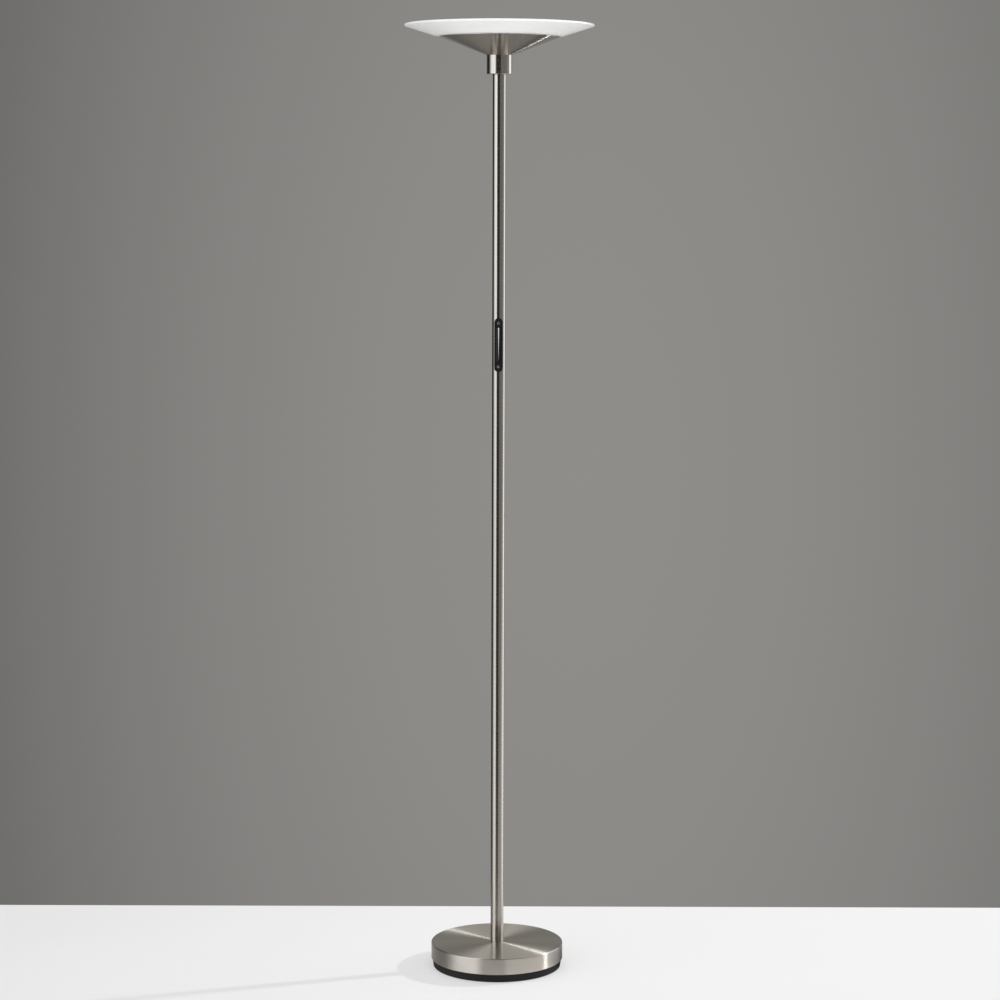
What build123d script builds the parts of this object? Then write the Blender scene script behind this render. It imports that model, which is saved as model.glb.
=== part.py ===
from build123d import *
import os
from math import atan2, cos, degrees, radians, sin, sqrt, tan

# Torchiere floor lamp: an opal glass dish on a brushed-steel cone, a screwed pole and a weighted base.
# Millimetres, +Z up, origin on the floor under the pole. The switch side of the pole faces -Y.

os.makedirs("parts", exist_ok=True)

# Overall sizes
total_height = 1803.0
base_diameter = 254.0
base_height = 47.0
pole_diameter = 25.0
shade_diameter = 355.0
collar_diameter = 48.0
collar_height = 35.1

# Fits
press_gap = 0.05
thread_gap = 0.05
running_gap = 0.05
hand_gap = 0.3

# Base cover and weight
cover_sheet = 1.2
cover_skirt = 30.9
cover_edge_radius = 1.8
weight_thickness = 13.8
weight_gap = 1.0

# Plinth and what stands on the floor
plinth_inset = 2.0
plinth_draft = 2.0
plinth_edge_radius = 1.2
plinth_floor = 3.0
plinth_wall = 5.0
spigot_wall = 3.5
foot_drop = 0.6
foot_thickness = 2.0
foot_inset = 9.0
foot_width = 14.0
rib_count = 6
rib_thickness = 3.0
rib_inner_radius = 25.0
plinth_screw_count = 3
plinth_screw_inset = 13.0
plinth_screw_angle = 30.0
plinth_screw_radius = 2.0
plinth_screw_bite = 8.0
plinth_screw_head_radius = 4.0
plinth_screw_head = 2.4
plinth_boss_radius = 7.0
plinth_boss_land = 22.0

# Cord outlet at the back of the plinth
outlet_bore_radius = 3.7
outlet_neck_wall = 0.8
outlet_flange = 1.5
outlet_flange_width = 1.2
outlet_barb_width = 0.5
outlet_recess = 3.0
outlet_boss_depth = 6.0
outlet_boss_margin = 2.0
terminal_length = 26.0
terminal_depth = 20.0
terminal_height = 12.0
terminal_reach = 60.0
terminal_ways = 3
terminal_screw_radius = 2.4
terminal_screw_depth = 4.0

# Threaded nipples, their nuts and washers
nipple_radius = 5.0
nipple_bore = 3.6
nipple_bite = 17.0
nipple_tail = 2.0
nut_flats = 17.0
nut_height = 6.0
washer_radius = 12.0
washer_thickness = 1.5
hole_gap = 0.3
screw_end_gap = 1.0

# Pole tubes and their screwed joints
pole_wall = 1.2
pole_sections = ("lower_tube", "lower_middle_tube", "switch_tube", "upper_tube")
joint_names = ("lower", "middle", "upper")
end_bush_length = 18.0
stud_sleeve = 25.0
stud_thread_radius = 7.0
stud_thread_length = 18.0
stud_bore = 4.0
joint_bush_length = 22.0

# Wiring inside the pole
lead_radius = 3.0
lead_level = 10.0

# Switch plate and rocker
switch_below_joint = 90.2
switch_length = 102.0
switch_width = 16.0
plate_proud = 2.2
plate_edge_radius = 1.0
rocker_length = 67.0
rocker_width = 10.0
rocker_proud = 1.5
rocker_side_proud = 0.2
rocker_bow = 1.0
rocker_depth = 8.0
rocker_end_gap = 0.5
rocker_corner_radius = 0.8
rocker_foot_reach = 22.0
rocker_foot_size = 4.0
rocker_foot_depth = 5.2
pivot_depth = 2.5
pivot_radius = 1.0
pivot_boss_wall = 1.4
switch_box_wall = 0.9
switch_box_depth = 6.0
switch_screw_reach = 41.2
switch_screw_radius = 1.5
switch_screw_bite = 6.0
switch_screw_head_radius = 2.6
switch_screw_head = 1.3

# Dimmer board and the carrier that holds it inside the tube
carrier_length = 92.0
carrier_gap = 0.15
carrier_boss_radius = 3.0
board_depth = 10.0
board_thickness = 1.6
board_length = 74.0
board_width = 15.0
tact_size = 6.0
tact_height = 3.0
plunger_radius = 1.6
plunger_height = 0.5

# Collar and cone
collar_wall = 2.0
collar_floor = 3.0
collar_edge = 0.8
cone_sheet = 1.2
cone_rise = 33.4
cone_rim_band = 4.9
cone_flange_margin = 5.0

# Glass dish
glass_thickness = 4.0
glass_slope = 17.6
lip_wall = 1.6
lip_depth = 5.0
lip_gap = 0.4
glass_flange_thickness = 4.0
glass_ledge = 9.6
gasket_thickness = 0.8
gasket_inset = 1.2

# Light source
led_plate_thickness = 2.0
led_plate_gap = 0.6
led_board_gap = 5.0
led_board_thickness = 1.6
led_size = 3.0
led_height = 0.8
led_ring_inset = 14.0
led_ring_pitch = 25.0
led_inner_ring_count = 12
led_outer_ring_count = 24
led_stem_radius = 2.5
led_connector_size = 9.0
led_connector_height = 1.6
diffuser_wall = 2.0
diffuser_radius = 91.0
diffuser_screw_margin = 6.0
diffuser_flange_margin = 5.4
diffuser_flange_gap = 1.0
diffuser_step = 2.5
diffuser_crown = 3.5
diffuser_screw_count = 3
diffuser_screw_radius = 1.5
diffuser_screw_head_radius = 2.8
diffuser_screw_head = 1.8
diffuser_screw_tail = 2.0
driver_length = 90.0
driver_width = 50.0
driver_height = 16.0
driver_corner = 4.0
driver_screw_reach = 38.0
driver_screw_radius = 1.5
driver_screw_head_radius = 2.9
driver_screw_length = 8.0

# Heights and radii that follow from the base
base_radius = base_diameter / 2
cover_inner_radius = base_radius - cover_sheet
cover_bottom = base_height - cover_skirt
weight_top = base_height - cover_sheet
weight_bottom = weight_top - weight_thickness
weight_radius = cover_inner_radius - weight_gap
plinth_radius = base_radius - plinth_inset
plinth_foot_radius = plinth_radius - plinth_draft
plinth_floor_top = foot_drop + plinth_floor
foot_outer_radius = plinth_foot_radius - foot_inset
foot_inner_radius = foot_outer_radius - foot_width
plinth_screw_circle = foot_inner_radius - plinth_screw_inset
plinth_inner_radius = plinth_radius - plinth_wall
spigot_radius = cover_inner_radius - hand_gap
spigot_inner_radius = spigot_radius - spigot_wall
spigot_floor = cover_bottom + plinth_floor
nipple_hole_radius = nipple_radius + hole_gap
base_washer_bottom = weight_bottom - washer_thickness
base_nut_bottom = base_washer_bottom - nut_height
base_nipple_bottom = base_nut_bottom - nipple_tail
base_nipple_top = base_height + nipple_bite
plinth_screw_seat = weight_bottom - plinth_boss_land
plinth_screw_hole = plinth_screw_radius + hole_gap
plinth_back = plinth_radius - outlet_recess
outlet_neck_radius = outlet_bore_radius + outlet_neck_wall
outlet_flange_radius = outlet_neck_radius + outlet_flange_width
outlet_barb_radius = outlet_neck_radius + outlet_barb_width
outlet_height = plinth_floor_top + outlet_barb_radius + hole_gap
outlet_boss_width = 2 * (outlet_flange_radius + outlet_boss_margin)

# Radii that follow from the diffuser, inwards to the lights and outwards to the lip of the glass
diffuser_inner_radius = diffuser_radius - diffuser_wall
led_board_radius = diffuser_inner_radius - led_board_gap
led_outer_ring_radius = led_board_radius - led_ring_inset
led_inner_ring_radius = led_outer_ring_radius - led_ring_pitch
diffuser_screw_circle = diffuser_radius + diffuser_screw_margin
diffuser_flange_radius = diffuser_screw_circle + diffuser_flange_margin
led_plate_radius = diffuser_flange_radius + diffuser_flange_gap
glass_hole_radius = led_plate_radius + led_plate_gap
lip_inner_radius = glass_hole_radius + glass_ledge
lip_radius = lip_inner_radius + lip_wall
cone_flange_inner_radius = diffuser_screw_circle - cone_flange_margin

# Heights and radii that follow from the glass dish
shade_radius = shade_diameter / 2
half_glass = glass_thickness / 2
glass_angle = radians(glass_slope)
rim_radius = shade_radius - half_glass
rim_height = total_height - half_glass
lower_edge = (rim_radius + half_glass * sin(glass_angle), rim_height - half_glass * cos(glass_angle))
upper_edge = (rim_radius - half_glass * sin(glass_angle), rim_height + half_glass * cos(glass_angle))
lip_tip = lower_edge[1] - (lower_edge[0] - lip_radius) * tan(glass_angle)
glass_seat = lip_tip + lip_depth
glass_flange_top = glass_seat + glass_flange_thickness
glass_bend_radius = upper_edge[0] - (upper_edge[1] - glass_flange_top) / tan(glass_angle)

# Heights and radii of the cone and collar under it
cone_rim = glass_seat - gasket_thickness
cone_edge = cone_rim - cone_rim_band
cone_bottom = cone_edge - cone_rise
cone_rim_radius = lip_inner_radius - lip_gap
collar_radius = collar_diameter / 2
cone_angle = atan2(cone_rise, cone_rim_radius - collar_radius)
cone_floor_top = cone_bottom + cone_sheet
collar_bottom = cone_bottom - collar_height
head_washer_top = cone_floor_top + washer_thickness
head_nut_top = head_washer_top + nut_height
led_plate_top = cone_rim + led_plate_thickness
led_board_top = led_plate_top + led_board_thickness
diffuser_flange_top = led_plate_top + diffuser_wall
diffuser_shoulder = diffuser_flange_top + diffuser_step
diffuser_top = diffuser_shoulder + diffuser_crown
driver_bottom = cone_rim - driver_height

# Heights and radii of the pole
pole_radius = pole_diameter / 2
pole_inner_radius = pole_radius - pole_wall
bush_radius = pole_inner_radius - press_gap
section_length = (collar_bottom - base_height) / len(pole_sections)
section_bottoms = [base_height + section_length * index for index in range(len(pole_sections))]
joint_heights = section_bottoms[1:]

# Places of the switch, with depths measured from the front of the tube
switch_height = joint_heights[-1] - switch_below_joint
plate_front = -(pole_radius + plate_proud)
rocker_front = plate_front - rocker_proud
pivot_y = -(pole_radius - pivot_depth)
board_front = -(pole_radius - board_depth)
board_back = board_front + board_thickness
carrier_bottom = switch_height - carrier_length / 2
carrier_top = switch_height + carrier_length / 2
carrier_radius = pole_inner_radius - carrier_gap
pocket_length = rocker_length + 2 * rocker_end_gap
pocket_width = rocker_width + 2 * hand_gap
switch_box_length = pocket_length + 2 * switch_box_wall
switch_box_width = pocket_width + 2 * switch_box_wall
switch_plane = Plane(origin=(0, 0, switch_height), x_dir=(1, 0, 0), z_dir=(0, -1, 0))

# Base cover: a spun steel cap with a rolled top edge
with BuildPart() as base_cover:
    with BuildSketch(Plane.XZ):
        with BuildLine():
            Polyline(
                (nipple_hole_radius, base_height),
                (base_radius, base_height),
                (base_radius, cover_bottom),
                (cover_inner_radius, cover_bottom),
                (cover_inner_radius, weight_top),
                (nipple_hole_radius, weight_top),
                close=True,
            )
        make_face()
        fillet(vertices().sort_by_distance((base_radius, base_height))[0], cover_edge_radius)
    revolve(axis=Axis.Z)
base_cover.part.label = "base_cover"
export_step(base_cover.part, "parts/base_cover.step")

# Base weight: a cast disc against the underside of the cover, tapped for the plinth screws
with BuildPart() as base_weight:
    with BuildSketch(Plane.XY.offset(weight_bottom)):
        Circle(weight_radius)
        Circle(nipple_hole_radius, mode=Mode.SUBTRACT)
    extrude(amount=weight_thickness)
    with BuildSketch(Plane.XY.offset(weight_bottom)):
        with PolarLocations(plinth_screw_circle, plinth_screw_count, start_angle=plinth_screw_angle):
            Circle(plinth_screw_radius + thread_gap)
    extrude(amount=plinth_screw_bite + screw_end_gap, mode=Mode.SUBTRACT)
base_weight.part.label = "base_weight"
export_step(base_weight.part, "parts/base_weight.step")

# Plinth: a moulded tray with a spigot inside the cover, ribs under the weight and a cord outlet at the back
with BuildPart() as base_plinth:
    with BuildSketch(Plane.XZ):
        with BuildLine():
            Polyline(
                (0, foot_drop),
                (plinth_foot_radius, foot_drop),
                (plinth_radius, cover_bottom),
                (spigot_radius, cover_bottom),
                (spigot_radius, weight_bottom),
                (spigot_inner_radius, weight_bottom),
                (spigot_inner_radius, spigot_floor),
                (plinth_inner_radius, spigot_floor),
                (plinth_inner_radius, plinth_floor_top),
                (0, plinth_floor_top),
                close=True,
            )
        make_face()
        fillet(vertices().sort_by_distance((plinth_foot_radius, foot_drop))[0], plinth_edge_radius)
    revolve(axis=Axis.Z)
    rib_length = plinth_foot_radius - plinth_wall / 2 - rib_inner_radius
    with BuildSketch(Plane.XY.offset(plinth_floor_top)):
        with PolarLocations(rib_inner_radius, rib_count):
            Rectangle(rib_length, rib_thickness, align=(Align.MIN, Align.CENTER))
        with PolarLocations(plinth_screw_circle, plinth_screw_count, start_angle=plinth_screw_angle):
            Circle(plinth_boss_radius)
    extrude(amount=weight_bottom - plinth_floor_top)
    with BuildSketch(Plane.XY.offset(foot_drop)):
        with PolarLocations(plinth_screw_circle, plinth_screw_count, start_angle=plinth_screw_angle):
            Circle(plinth_screw_hole)
    extrude(amount=weight_bottom, mode=Mode.SUBTRACT)
    with BuildSketch(Plane.XY.offset(foot_drop)):
        with PolarLocations(plinth_screw_circle, plinth_screw_count, start_angle=plinth_screw_angle):
            Circle(plinth_screw_head_radius + hole_gap)
    extrude(amount=plinth_screw_seat - foot_drop, mode=Mode.SUBTRACT)
    with BuildSketch(Plane.XY.offset(foot_drop)):
        Circle(foot_outer_radius)
        Circle(foot_inner_radius, mode=Mode.SUBTRACT)
    extrude(amount=foot_thickness - foot_drop, mode=Mode.SUBTRACT)
    with BuildSketch(Plane.XZ.offset(outlet_boss_depth - plinth_back)):
        with Locations((0, plinth_floor_top)):
            boss_height = spigot_floor - plinth_floor_top
            Rectangle(outlet_boss_width, boss_height, align=(Align.CENTER, Align.MIN))
    extrude(amount=-outlet_boss_depth)
    with BuildSketch(Plane.XZ.offset(-plinth_back)):
        with Locations((0, foot_drop)):
            flat_height = cover_bottom - foot_drop
            Rectangle(outlet_boss_width, flat_height, align=(Align.CENTER, Align.MIN))
    extrude(amount=-2 * outlet_recess, mode=Mode.SUBTRACT)
    with BuildSketch(Plane.XZ.offset(-plinth_back)):
        with Locations((0, outlet_height)):
            Circle(outlet_neck_radius + press_gap)
    extrude(amount=outlet_boss_depth, mode=Mode.SUBTRACT)
base_plinth.part.label = "base_plinth"
export_step(base_plinth.part, "parts/base_plinth.step")

# Foot ring: a non-slip ring in the groove under the plinth
with BuildPart() as foot_ring:
    with BuildSketch():
        Circle(foot_outer_radius - hand_gap)
        Circle(foot_inner_radius + hand_gap, mode=Mode.SUBTRACT)
    extrude(amount=foot_thickness)
foot_ring.part.label = "foot_ring"
export_step(foot_ring.part, "parts/foot_ring.step")

# Plinth screws: from below, through the plinth bosses into the weight
with BuildPart() as plinth_screws:
    with BuildSketch(Plane.XY.offset(plinth_screw_seat - plinth_screw_head)):
        with PolarLocations(plinth_screw_circle, plinth_screw_count, start_angle=plinth_screw_angle):
            Circle(plinth_screw_head_radius)
    extrude(amount=plinth_screw_head)
    with BuildSketch(Plane.XY.offset(plinth_screw_seat)):
        with PolarLocations(plinth_screw_circle, plinth_screw_count, start_angle=plinth_screw_angle):
            Circle(plinth_screw_radius)
    extrude(amount=plinth_boss_land + plinth_screw_bite)
plinth_screws.part.label = "plinth_screws"
export_step(plinth_screws.part, "parts/plinth_screws.step")

# Cord grommet: a rubber bush with a flange on each side of the plinth wall
with BuildPart() as cord_grommet:
    with BuildSketch(Plane.XZ.offset(-plinth_back)):
        with Locations((0, outlet_height)):
            Circle(outlet_flange_radius)
    extrude(amount=-outlet_flange)
    with BuildSketch(Plane.XZ.offset(-plinth_back)):
        with Locations((0, outlet_height)):
            Circle(outlet_neck_radius)
    extrude(amount=outlet_boss_depth)
    with BuildSketch(Plane.XZ.offset(outlet_boss_depth - plinth_back)):
        with Locations((0, outlet_height)):
            Circle(outlet_barb_radius)
    extrude(amount=outlet_flange)
    with BuildSketch(Plane.XZ.offset(-plinth_back - outlet_flange)):
        with Locations((0, outlet_height)):
            Circle(outlet_bore_radius)
    extrude(amount=outlet_boss_depth + 2 * outlet_flange, mode=Mode.SUBTRACT)
cord_grommet.part.label = "cord_grommet"
export_step(cord_grommet.part, "parts/cord_grommet.step")

# Terminal block: where the mains lead is wired, on the plinth floor behind the pole
with BuildPart() as terminal_block:
    with BuildSketch(Plane.XY.offset(plinth_floor_top)):
        with Locations((0, terminal_reach)):
            Rectangle(terminal_length, terminal_depth, align=(Align.CENTER, Align.MIN))
    extrude(amount=terminal_height)
    with BuildSketch(Plane.XY.offset(plinth_floor_top + terminal_height)):
        with Locations((0, terminal_reach + terminal_depth / 2)):
            with GridLocations(terminal_length / terminal_ways, terminal_depth / 2, terminal_ways, 2):
                Circle(terminal_screw_radius)
    extrude(amount=-terminal_screw_depth, mode=Mode.SUBTRACT)
terminal_block.part.label = "terminal_block"
export_step(terminal_block.part, "parts/terminal_block.step")

# Base nipple: a hollow threaded tube that clamps the pole, cover and weight together
with BuildPart() as base_nipple:
    with BuildSketch(Plane.XY.offset(base_nipple_bottom)):
        Circle(nipple_radius)
        Circle(nipple_bore, mode=Mode.SUBTRACT)
    extrude(amount=base_nipple_top - base_nipple_bottom)
base_nipple.part.label = "base_nipple"
export_step(base_nipple.part, "parts/base_nipple.step")

# Head nipple: the same tube at the top of the pole, through the collar and the cone
head_nipple_bottom = collar_bottom - nipple_bite
with BuildPart() as head_nipple:
    with BuildSketch(Plane.XY.offset(head_nipple_bottom)):
        Circle(nipple_radius)
        Circle(nipple_bore, mode=Mode.SUBTRACT)
    extrude(amount=head_nut_top + nipple_tail - head_nipple_bottom)
head_nipple.part.label = "head_nipple"
export_step(head_nipple.part, "parts/head_nipple.step")

# Washers and hex nuts on the two nipples
clamps = (("base", base_washer_bottom, base_nut_bottom), ("head", cone_floor_top, head_washer_top))
for place, washer_bottom, nut_bottom in clamps:
    with BuildPart() as washer:
        with BuildSketch(Plane.XY.offset(washer_bottom)):
            Circle(washer_radius)
            Circle(nipple_hole_radius, mode=Mode.SUBTRACT)
        extrude(amount=washer_thickness)
    washer.part.label = f"{place}_washer"
    export_step(washer.part, f"parts/{place}_washer.step")

    with BuildPart() as nut:
        with BuildSketch(Plane.XY.offset(nut_bottom)):
            RegularPolygon(nut_flats / 2, 6, major_radius=False)
            Circle(nipple_radius + thread_gap, mode=Mode.SUBTRACT)
        extrude(amount=nut_height)
    nut.part.label = f"{place}_nut"
    export_step(nut.part, f"parts/{place}_nut.step")

# Pole tubes: four equal lengths, and the third has the switch window and its two screw holes
for name, bottom in zip(pole_sections, section_bottoms):
    with BuildPart() as tube:
        with BuildSketch(Plane.XY.offset(bottom)):
            Circle(pole_radius)
            Circle(pole_inner_radius, mode=Mode.SUBTRACT)
        extrude(amount=section_length)
        if name == "switch_tube":
            with BuildSketch(switch_plane):
                Rectangle(switch_box_width + 2 * hand_gap, switch_box_length + 2 * hand_gap)
                with GridLocations(0, 2 * switch_screw_reach, 1, 2):
                    Circle(switch_screw_radius + hole_gap)
            extrude(amount=pole_diameter, mode=Mode.SUBTRACT)
    tube.part.label = name
    export_step(tube.part, f"parts/{name}.step")

# End bushes: threaded plugs in the bottom and top of the pole
end_bushes = (("pole_foot_bush", base_height), ("pole_top_bush", collar_bottom - end_bush_length))
for name, bottom in end_bushes:
    with BuildPart() as end_bush:
        with BuildSketch(Plane.XY.offset(bottom)):
            Circle(bush_radius)
            Circle(nipple_radius + thread_gap, mode=Mode.SUBTRACT)
        extrude(amount=end_bush_length)
    end_bush.part.label = name
    export_step(end_bush.part, f"parts/{name}.step")

# Pole joints: a hollow stud in the top of one tube screws into a bush in the foot of the next
for name, height in zip(joint_names, joint_heights):
    with BuildPart() as stud:
        with BuildSketch(Plane.XY.offset(height - stud_sleeve)):
            Circle(bush_radius)
        extrude(amount=stud_sleeve)
        with BuildSketch(Plane.XY.offset(height)):
            Circle(stud_thread_radius)
        extrude(amount=stud_thread_length)
        with BuildSketch(Plane.XY.offset(height - stud_sleeve)):
            Circle(stud_bore)
        extrude(amount=stud_sleeve + stud_thread_length, mode=Mode.SUBTRACT)
    stud.part.label = f"{name}_joint_stud"
    export_step(stud.part, f"parts/{name}_joint_stud.step")

    with BuildPart() as joint_bush:
        with BuildSketch(Plane.XY.offset(height)):
            Circle(bush_radius)
            Circle(stud_thread_radius + thread_gap, mode=Mode.SUBTRACT)
        extrude(amount=joint_bush_length)
    joint_bush.part.label = f"{name}_joint_bush"
    export_step(joint_bush.part, f"parts/{name}_joint_bush.step")

# Supply lead: from the terminal block, round into the base nipple and up to the switch carrier
with BuildPart() as supply_lead:
    with BuildLine() as supply_route:
        FilletPolyline(
            (0, terminal_reach, lead_level),
            (0, 0, lead_level),
            (0, 0, carrier_bottom),
            radius=base_nipple_bottom - lead_level,
        )
    with BuildSketch(Plane(origin=(0, terminal_reach, lead_level), z_dir=(0, -1, 0))):
        Circle(lead_radius)
    sweep(path=supply_route.line)
supply_lead.part.label = "supply_lead"
export_step(supply_lead.part, "parts/supply_lead.step")

# Head lead: from the switch carrier straight up to the driver
with BuildPart() as head_lead:
    with BuildSketch(Plane.XY.offset(carrier_top)):
        Circle(lead_radius)
    extrude(amount=driver_bottom - carrier_top)
head_lead.part.label = "head_lead"
export_step(head_lead.part, "parts/head_lead.step")

# Switch housing: a round-ended plate that saddles the tube, with an open box for the rocker
with BuildPart() as switch_housing:
    with BuildSketch(switch_plane):
        SlotOverall(switch_length, switch_width, rotation=90)
    extrude(amount=-plate_front)
    fillet(faces().sort_by(Axis.Y)[0].edges(), plate_edge_radius)
    with BuildSketch(Plane.XY.offset(switch_height - switch_length / 2)):
        Circle(pole_radius + press_gap)
    extrude(amount=switch_length, mode=Mode.SUBTRACT)
    with BuildSketch(switch_plane.offset(pole_radius - switch_box_depth)):
        Rectangle(switch_box_width, switch_box_length)
    extrude(amount=switch_box_depth)
    with BuildSketch(switch_plane):
        Rectangle(pocket_width, pocket_length)
        with GridLocations(0, 2 * switch_screw_reach, 1, 2):
            Circle(switch_screw_radius + hole_gap)
    extrude(amount=-2 * plate_front, mode=Mode.SUBTRACT)
    with BuildSketch(Plane.YZ):
        with Locations((pivot_y, switch_height)):
            Circle(pivot_radius + press_gap)
    extrude(amount=switch_width, both=True, mode=Mode.SUBTRACT)
switch_housing.part.label = "switch_housing"
export_step(switch_housing.part, "parts/switch_housing.step")

# Rocker pin: across the box, at the middle of the rocker
with BuildPart() as rocker_pin:
    with BuildSketch(Plane.YZ):
        with Locations((pivot_y, switch_height)):
            Circle(pivot_radius)
    extrude(amount=switch_box_width / 2, both=True)
rocker_pin.part.label = "rocker_pin"
export_step(rocker_pin.part, "parts/rocker_pin.step")

# Rocker: a crowned bar, bowed along its length, with a pivot boss and two feet over the switches
bow_radius = rocker_length**2 / (8 * rocker_bow)
bow_angle = rocker_length / (2 * bow_radius)
bow_axis_y = rocker_front + bow_radius
bow_plane = Plane(
    origin=(0, bow_axis_y, switch_height),
    x_dir=(1, 0, 0),
    z_dir=(0, sin(bow_angle), -cos(bow_angle)),
)
half_rocker = rocker_width / 2
rocker_side = bow_radius - rocker_proud + rocker_side_proud
with BuildPart() as switch_rocker:
    with BuildSketch(bow_plane):
        with BuildLine():
            ThreePointArc((-half_rocker, rocker_side), (0, bow_radius), (half_rocker, rocker_side))
            Polyline(
                (half_rocker, rocker_side),
                (half_rocker, bow_radius - rocker_depth),
                (-half_rocker, bow_radius - rocker_depth),
                (-half_rocker, rocker_side),
            )
        make_face()
    revolve(
        axis=Axis((0, bow_axis_y, switch_height), (-1, 0, 0)),
        revolution_arc=2 * degrees(bow_angle),
    )
    ends = faces().filter_by(GeomType.PLANE).sort_by(Axis.Z)
    fillet([end.edges().sort_by(Axis.Y)[0] for end in (ends[0], ends[-1])], rocker_corner_radius)
    with BuildSketch(Plane.YZ.offset(-half_rocker)):
        with Locations((pivot_y, switch_height)):
            Circle(pivot_radius + pivot_boss_wall)
    extrude(amount=rocker_width)
    with BuildSketch(switch_plane.offset(pole_radius - rocker_foot_depth)):
        with GridLocations(0, 2 * rocker_foot_reach, 1, 2):
            Rectangle(rocker_foot_size, rocker_foot_size)
    extrude(amount=rocker_foot_depth)
    with BuildSketch(Plane.YZ):
        with Locations((pivot_y, switch_height)):
            Circle(pivot_radius + running_gap)
    extrude(amount=rocker_width, both=True, mode=Mode.SUBTRACT)
switch_rocker.part.label = "switch_rocker"
export_step(switch_rocker.part, "parts/switch_rocker.step")

# Switch screws: through the plate and the tube into the carrier's bosses
with BuildPart() as switch_screws:
    with BuildSketch(switch_plane.offset(-plate_front)):
        with GridLocations(0, 2 * switch_screw_reach, 1, 2):
            Circle(switch_screw_head_radius)
    extrude(amount=switch_screw_head)
    with BuildSketch(switch_plane.offset(-plate_front)):
        with GridLocations(0, 2 * switch_screw_reach, 1, 2):
            Circle(switch_screw_radius)
    extrude(amount=-(plate_proud + pole_wall + switch_screw_bite))
switch_screws.part.label = "switch_screws"
export_step(switch_screws.part, "parts/switch_screws.step")

# Switch carrier: a D-section tray inside the tube, with a boss behind each screw
boss_front = sqrt(pole_inner_radius**2 - carrier_boss_radius**2) - hand_gap
with BuildPart() as switch_carrier:
    with BuildSketch(Plane.XY.offset(carrier_bottom)):
        Circle(carrier_radius)
        with Locations((0, board_back)):
            Rectangle(pole_diameter, pole_diameter, align=(Align.CENTER, Align.MAX), mode=Mode.SUBTRACT)
    extrude(amount=carrier_length)
    with BuildSketch(switch_plane.offset(-board_back)):
        with GridLocations(0, 2 * switch_screw_reach, 1, 2):
            Circle(carrier_boss_radius)
    extrude(amount=boss_front + board_back)
    with BuildSketch(switch_plane.offset(boss_front)):
        with GridLocations(0, 2 * switch_screw_reach, 1, 2):
            Circle(switch_screw_radius + thread_gap)
    extrude(amount=-(switch_screw_bite + screw_end_gap), mode=Mode.SUBTRACT)
switch_carrier.part.label = "switch_carrier"
export_step(switch_carrier.part, "parts/switch_carrier.step")

# Dimmer board: on the flat of the carrier, behind the rocker
with BuildPart() as dimmer_board:
    with BuildSketch(switch_plane.offset(-board_back)):
        Rectangle(board_width, board_length)
    extrude(amount=board_thickness)
dimmer_board.part.label = "dimmer_board"
export_step(dimmer_board.part, "parts/dimmer_board.step")

# Push switches: one under each foot of the rocker
with BuildPart() as push_switches:
    with BuildSketch(switch_plane.offset(-board_front)):
        with GridLocations(0, 2 * rocker_foot_reach, 1, 2):
            Rectangle(tact_size, tact_size)
    extrude(amount=tact_height)
    with BuildSketch(switch_plane.offset(-board_front)):
        with GridLocations(0, 2 * rocker_foot_reach, 1, 2):
            Circle(plunger_radius)
    extrude(amount=tact_height + plunger_height)
push_switches.part.label = "push_switches"
export_step(push_switches.part, "parts/push_switches.step")

# Collar: a turned cup on the end of the pole, with a broken lower edge
with BuildPart() as collar:
    with BuildSketch(Plane.XZ):
        with BuildLine():
            Polyline(
                (nipple_hole_radius, collar_bottom),
                (collar_radius - collar_edge, collar_bottom),
                (collar_radius, collar_bottom + collar_edge),
                (collar_radius, cone_bottom),
                (collar_radius - collar_wall, cone_bottom),
                (collar_radius - collar_wall, collar_bottom + collar_floor),
                (nipple_hole_radius, collar_bottom + collar_floor),
                close=True,
            )
        make_face()
    revolve(axis=Axis.Z)
collar.part.label = "collar"
export_step(collar.part, "parts/collar.step")

# Shade cone: spun steel, from the collar out to a rim band and an inward flange
cone_lift = cone_sheet / cos(cone_angle)
cone_inner_radius = cone_rim_radius - cone_sheet
inner_edge = cone_bottom + (cone_inner_radius - collar_radius) * tan(cone_angle) + cone_lift
with BuildPart() as shade_cone:
    with BuildSketch(Plane.XZ):
        with BuildLine():
            Polyline(
                (nipple_hole_radius, cone_bottom),
                (collar_radius, cone_bottom),
                (cone_rim_radius, cone_edge),
                (cone_rim_radius, cone_rim),
                (cone_flange_inner_radius, cone_rim),
                (cone_flange_inner_radius, cone_rim - cone_sheet),
                (cone_inner_radius, cone_rim - cone_sheet),
                (cone_inner_radius, inner_edge),
                (collar_radius - cone_sheet * tan(cone_angle / 2), cone_floor_top),
                (nipple_hole_radius, cone_floor_top),
                close=True,
            )
        make_face()
    revolve(axis=Axis.Z)
    with BuildSketch(Plane.XY.offset(cone_rim)):
        with PolarLocations(diffuser_screw_circle, diffuser_screw_count):
            Circle(diffuser_screw_radius + thread_gap)
    extrude(amount=-cone_sheet, mode=Mode.SUBTRACT)
shade_cone.part.label = "shade_cone"
export_step(shade_cone.part, "parts/shade_cone.step")

# Gasket: a soft ring between the cone's flange and the glass
with BuildPart() as shade_gasket:
    with BuildSketch(Plane.XY.offset(cone_rim)):
        Circle(cone_rim_radius - gasket_inset)
        Circle(glass_hole_radius + gasket_inset, mode=Mode.SUBTRACT)
    extrude(amount=gasket_thickness)
shade_gasket.part.label = "shade_gasket"
export_step(shade_gasket.part, "parts/shade_gasket.step")

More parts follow.
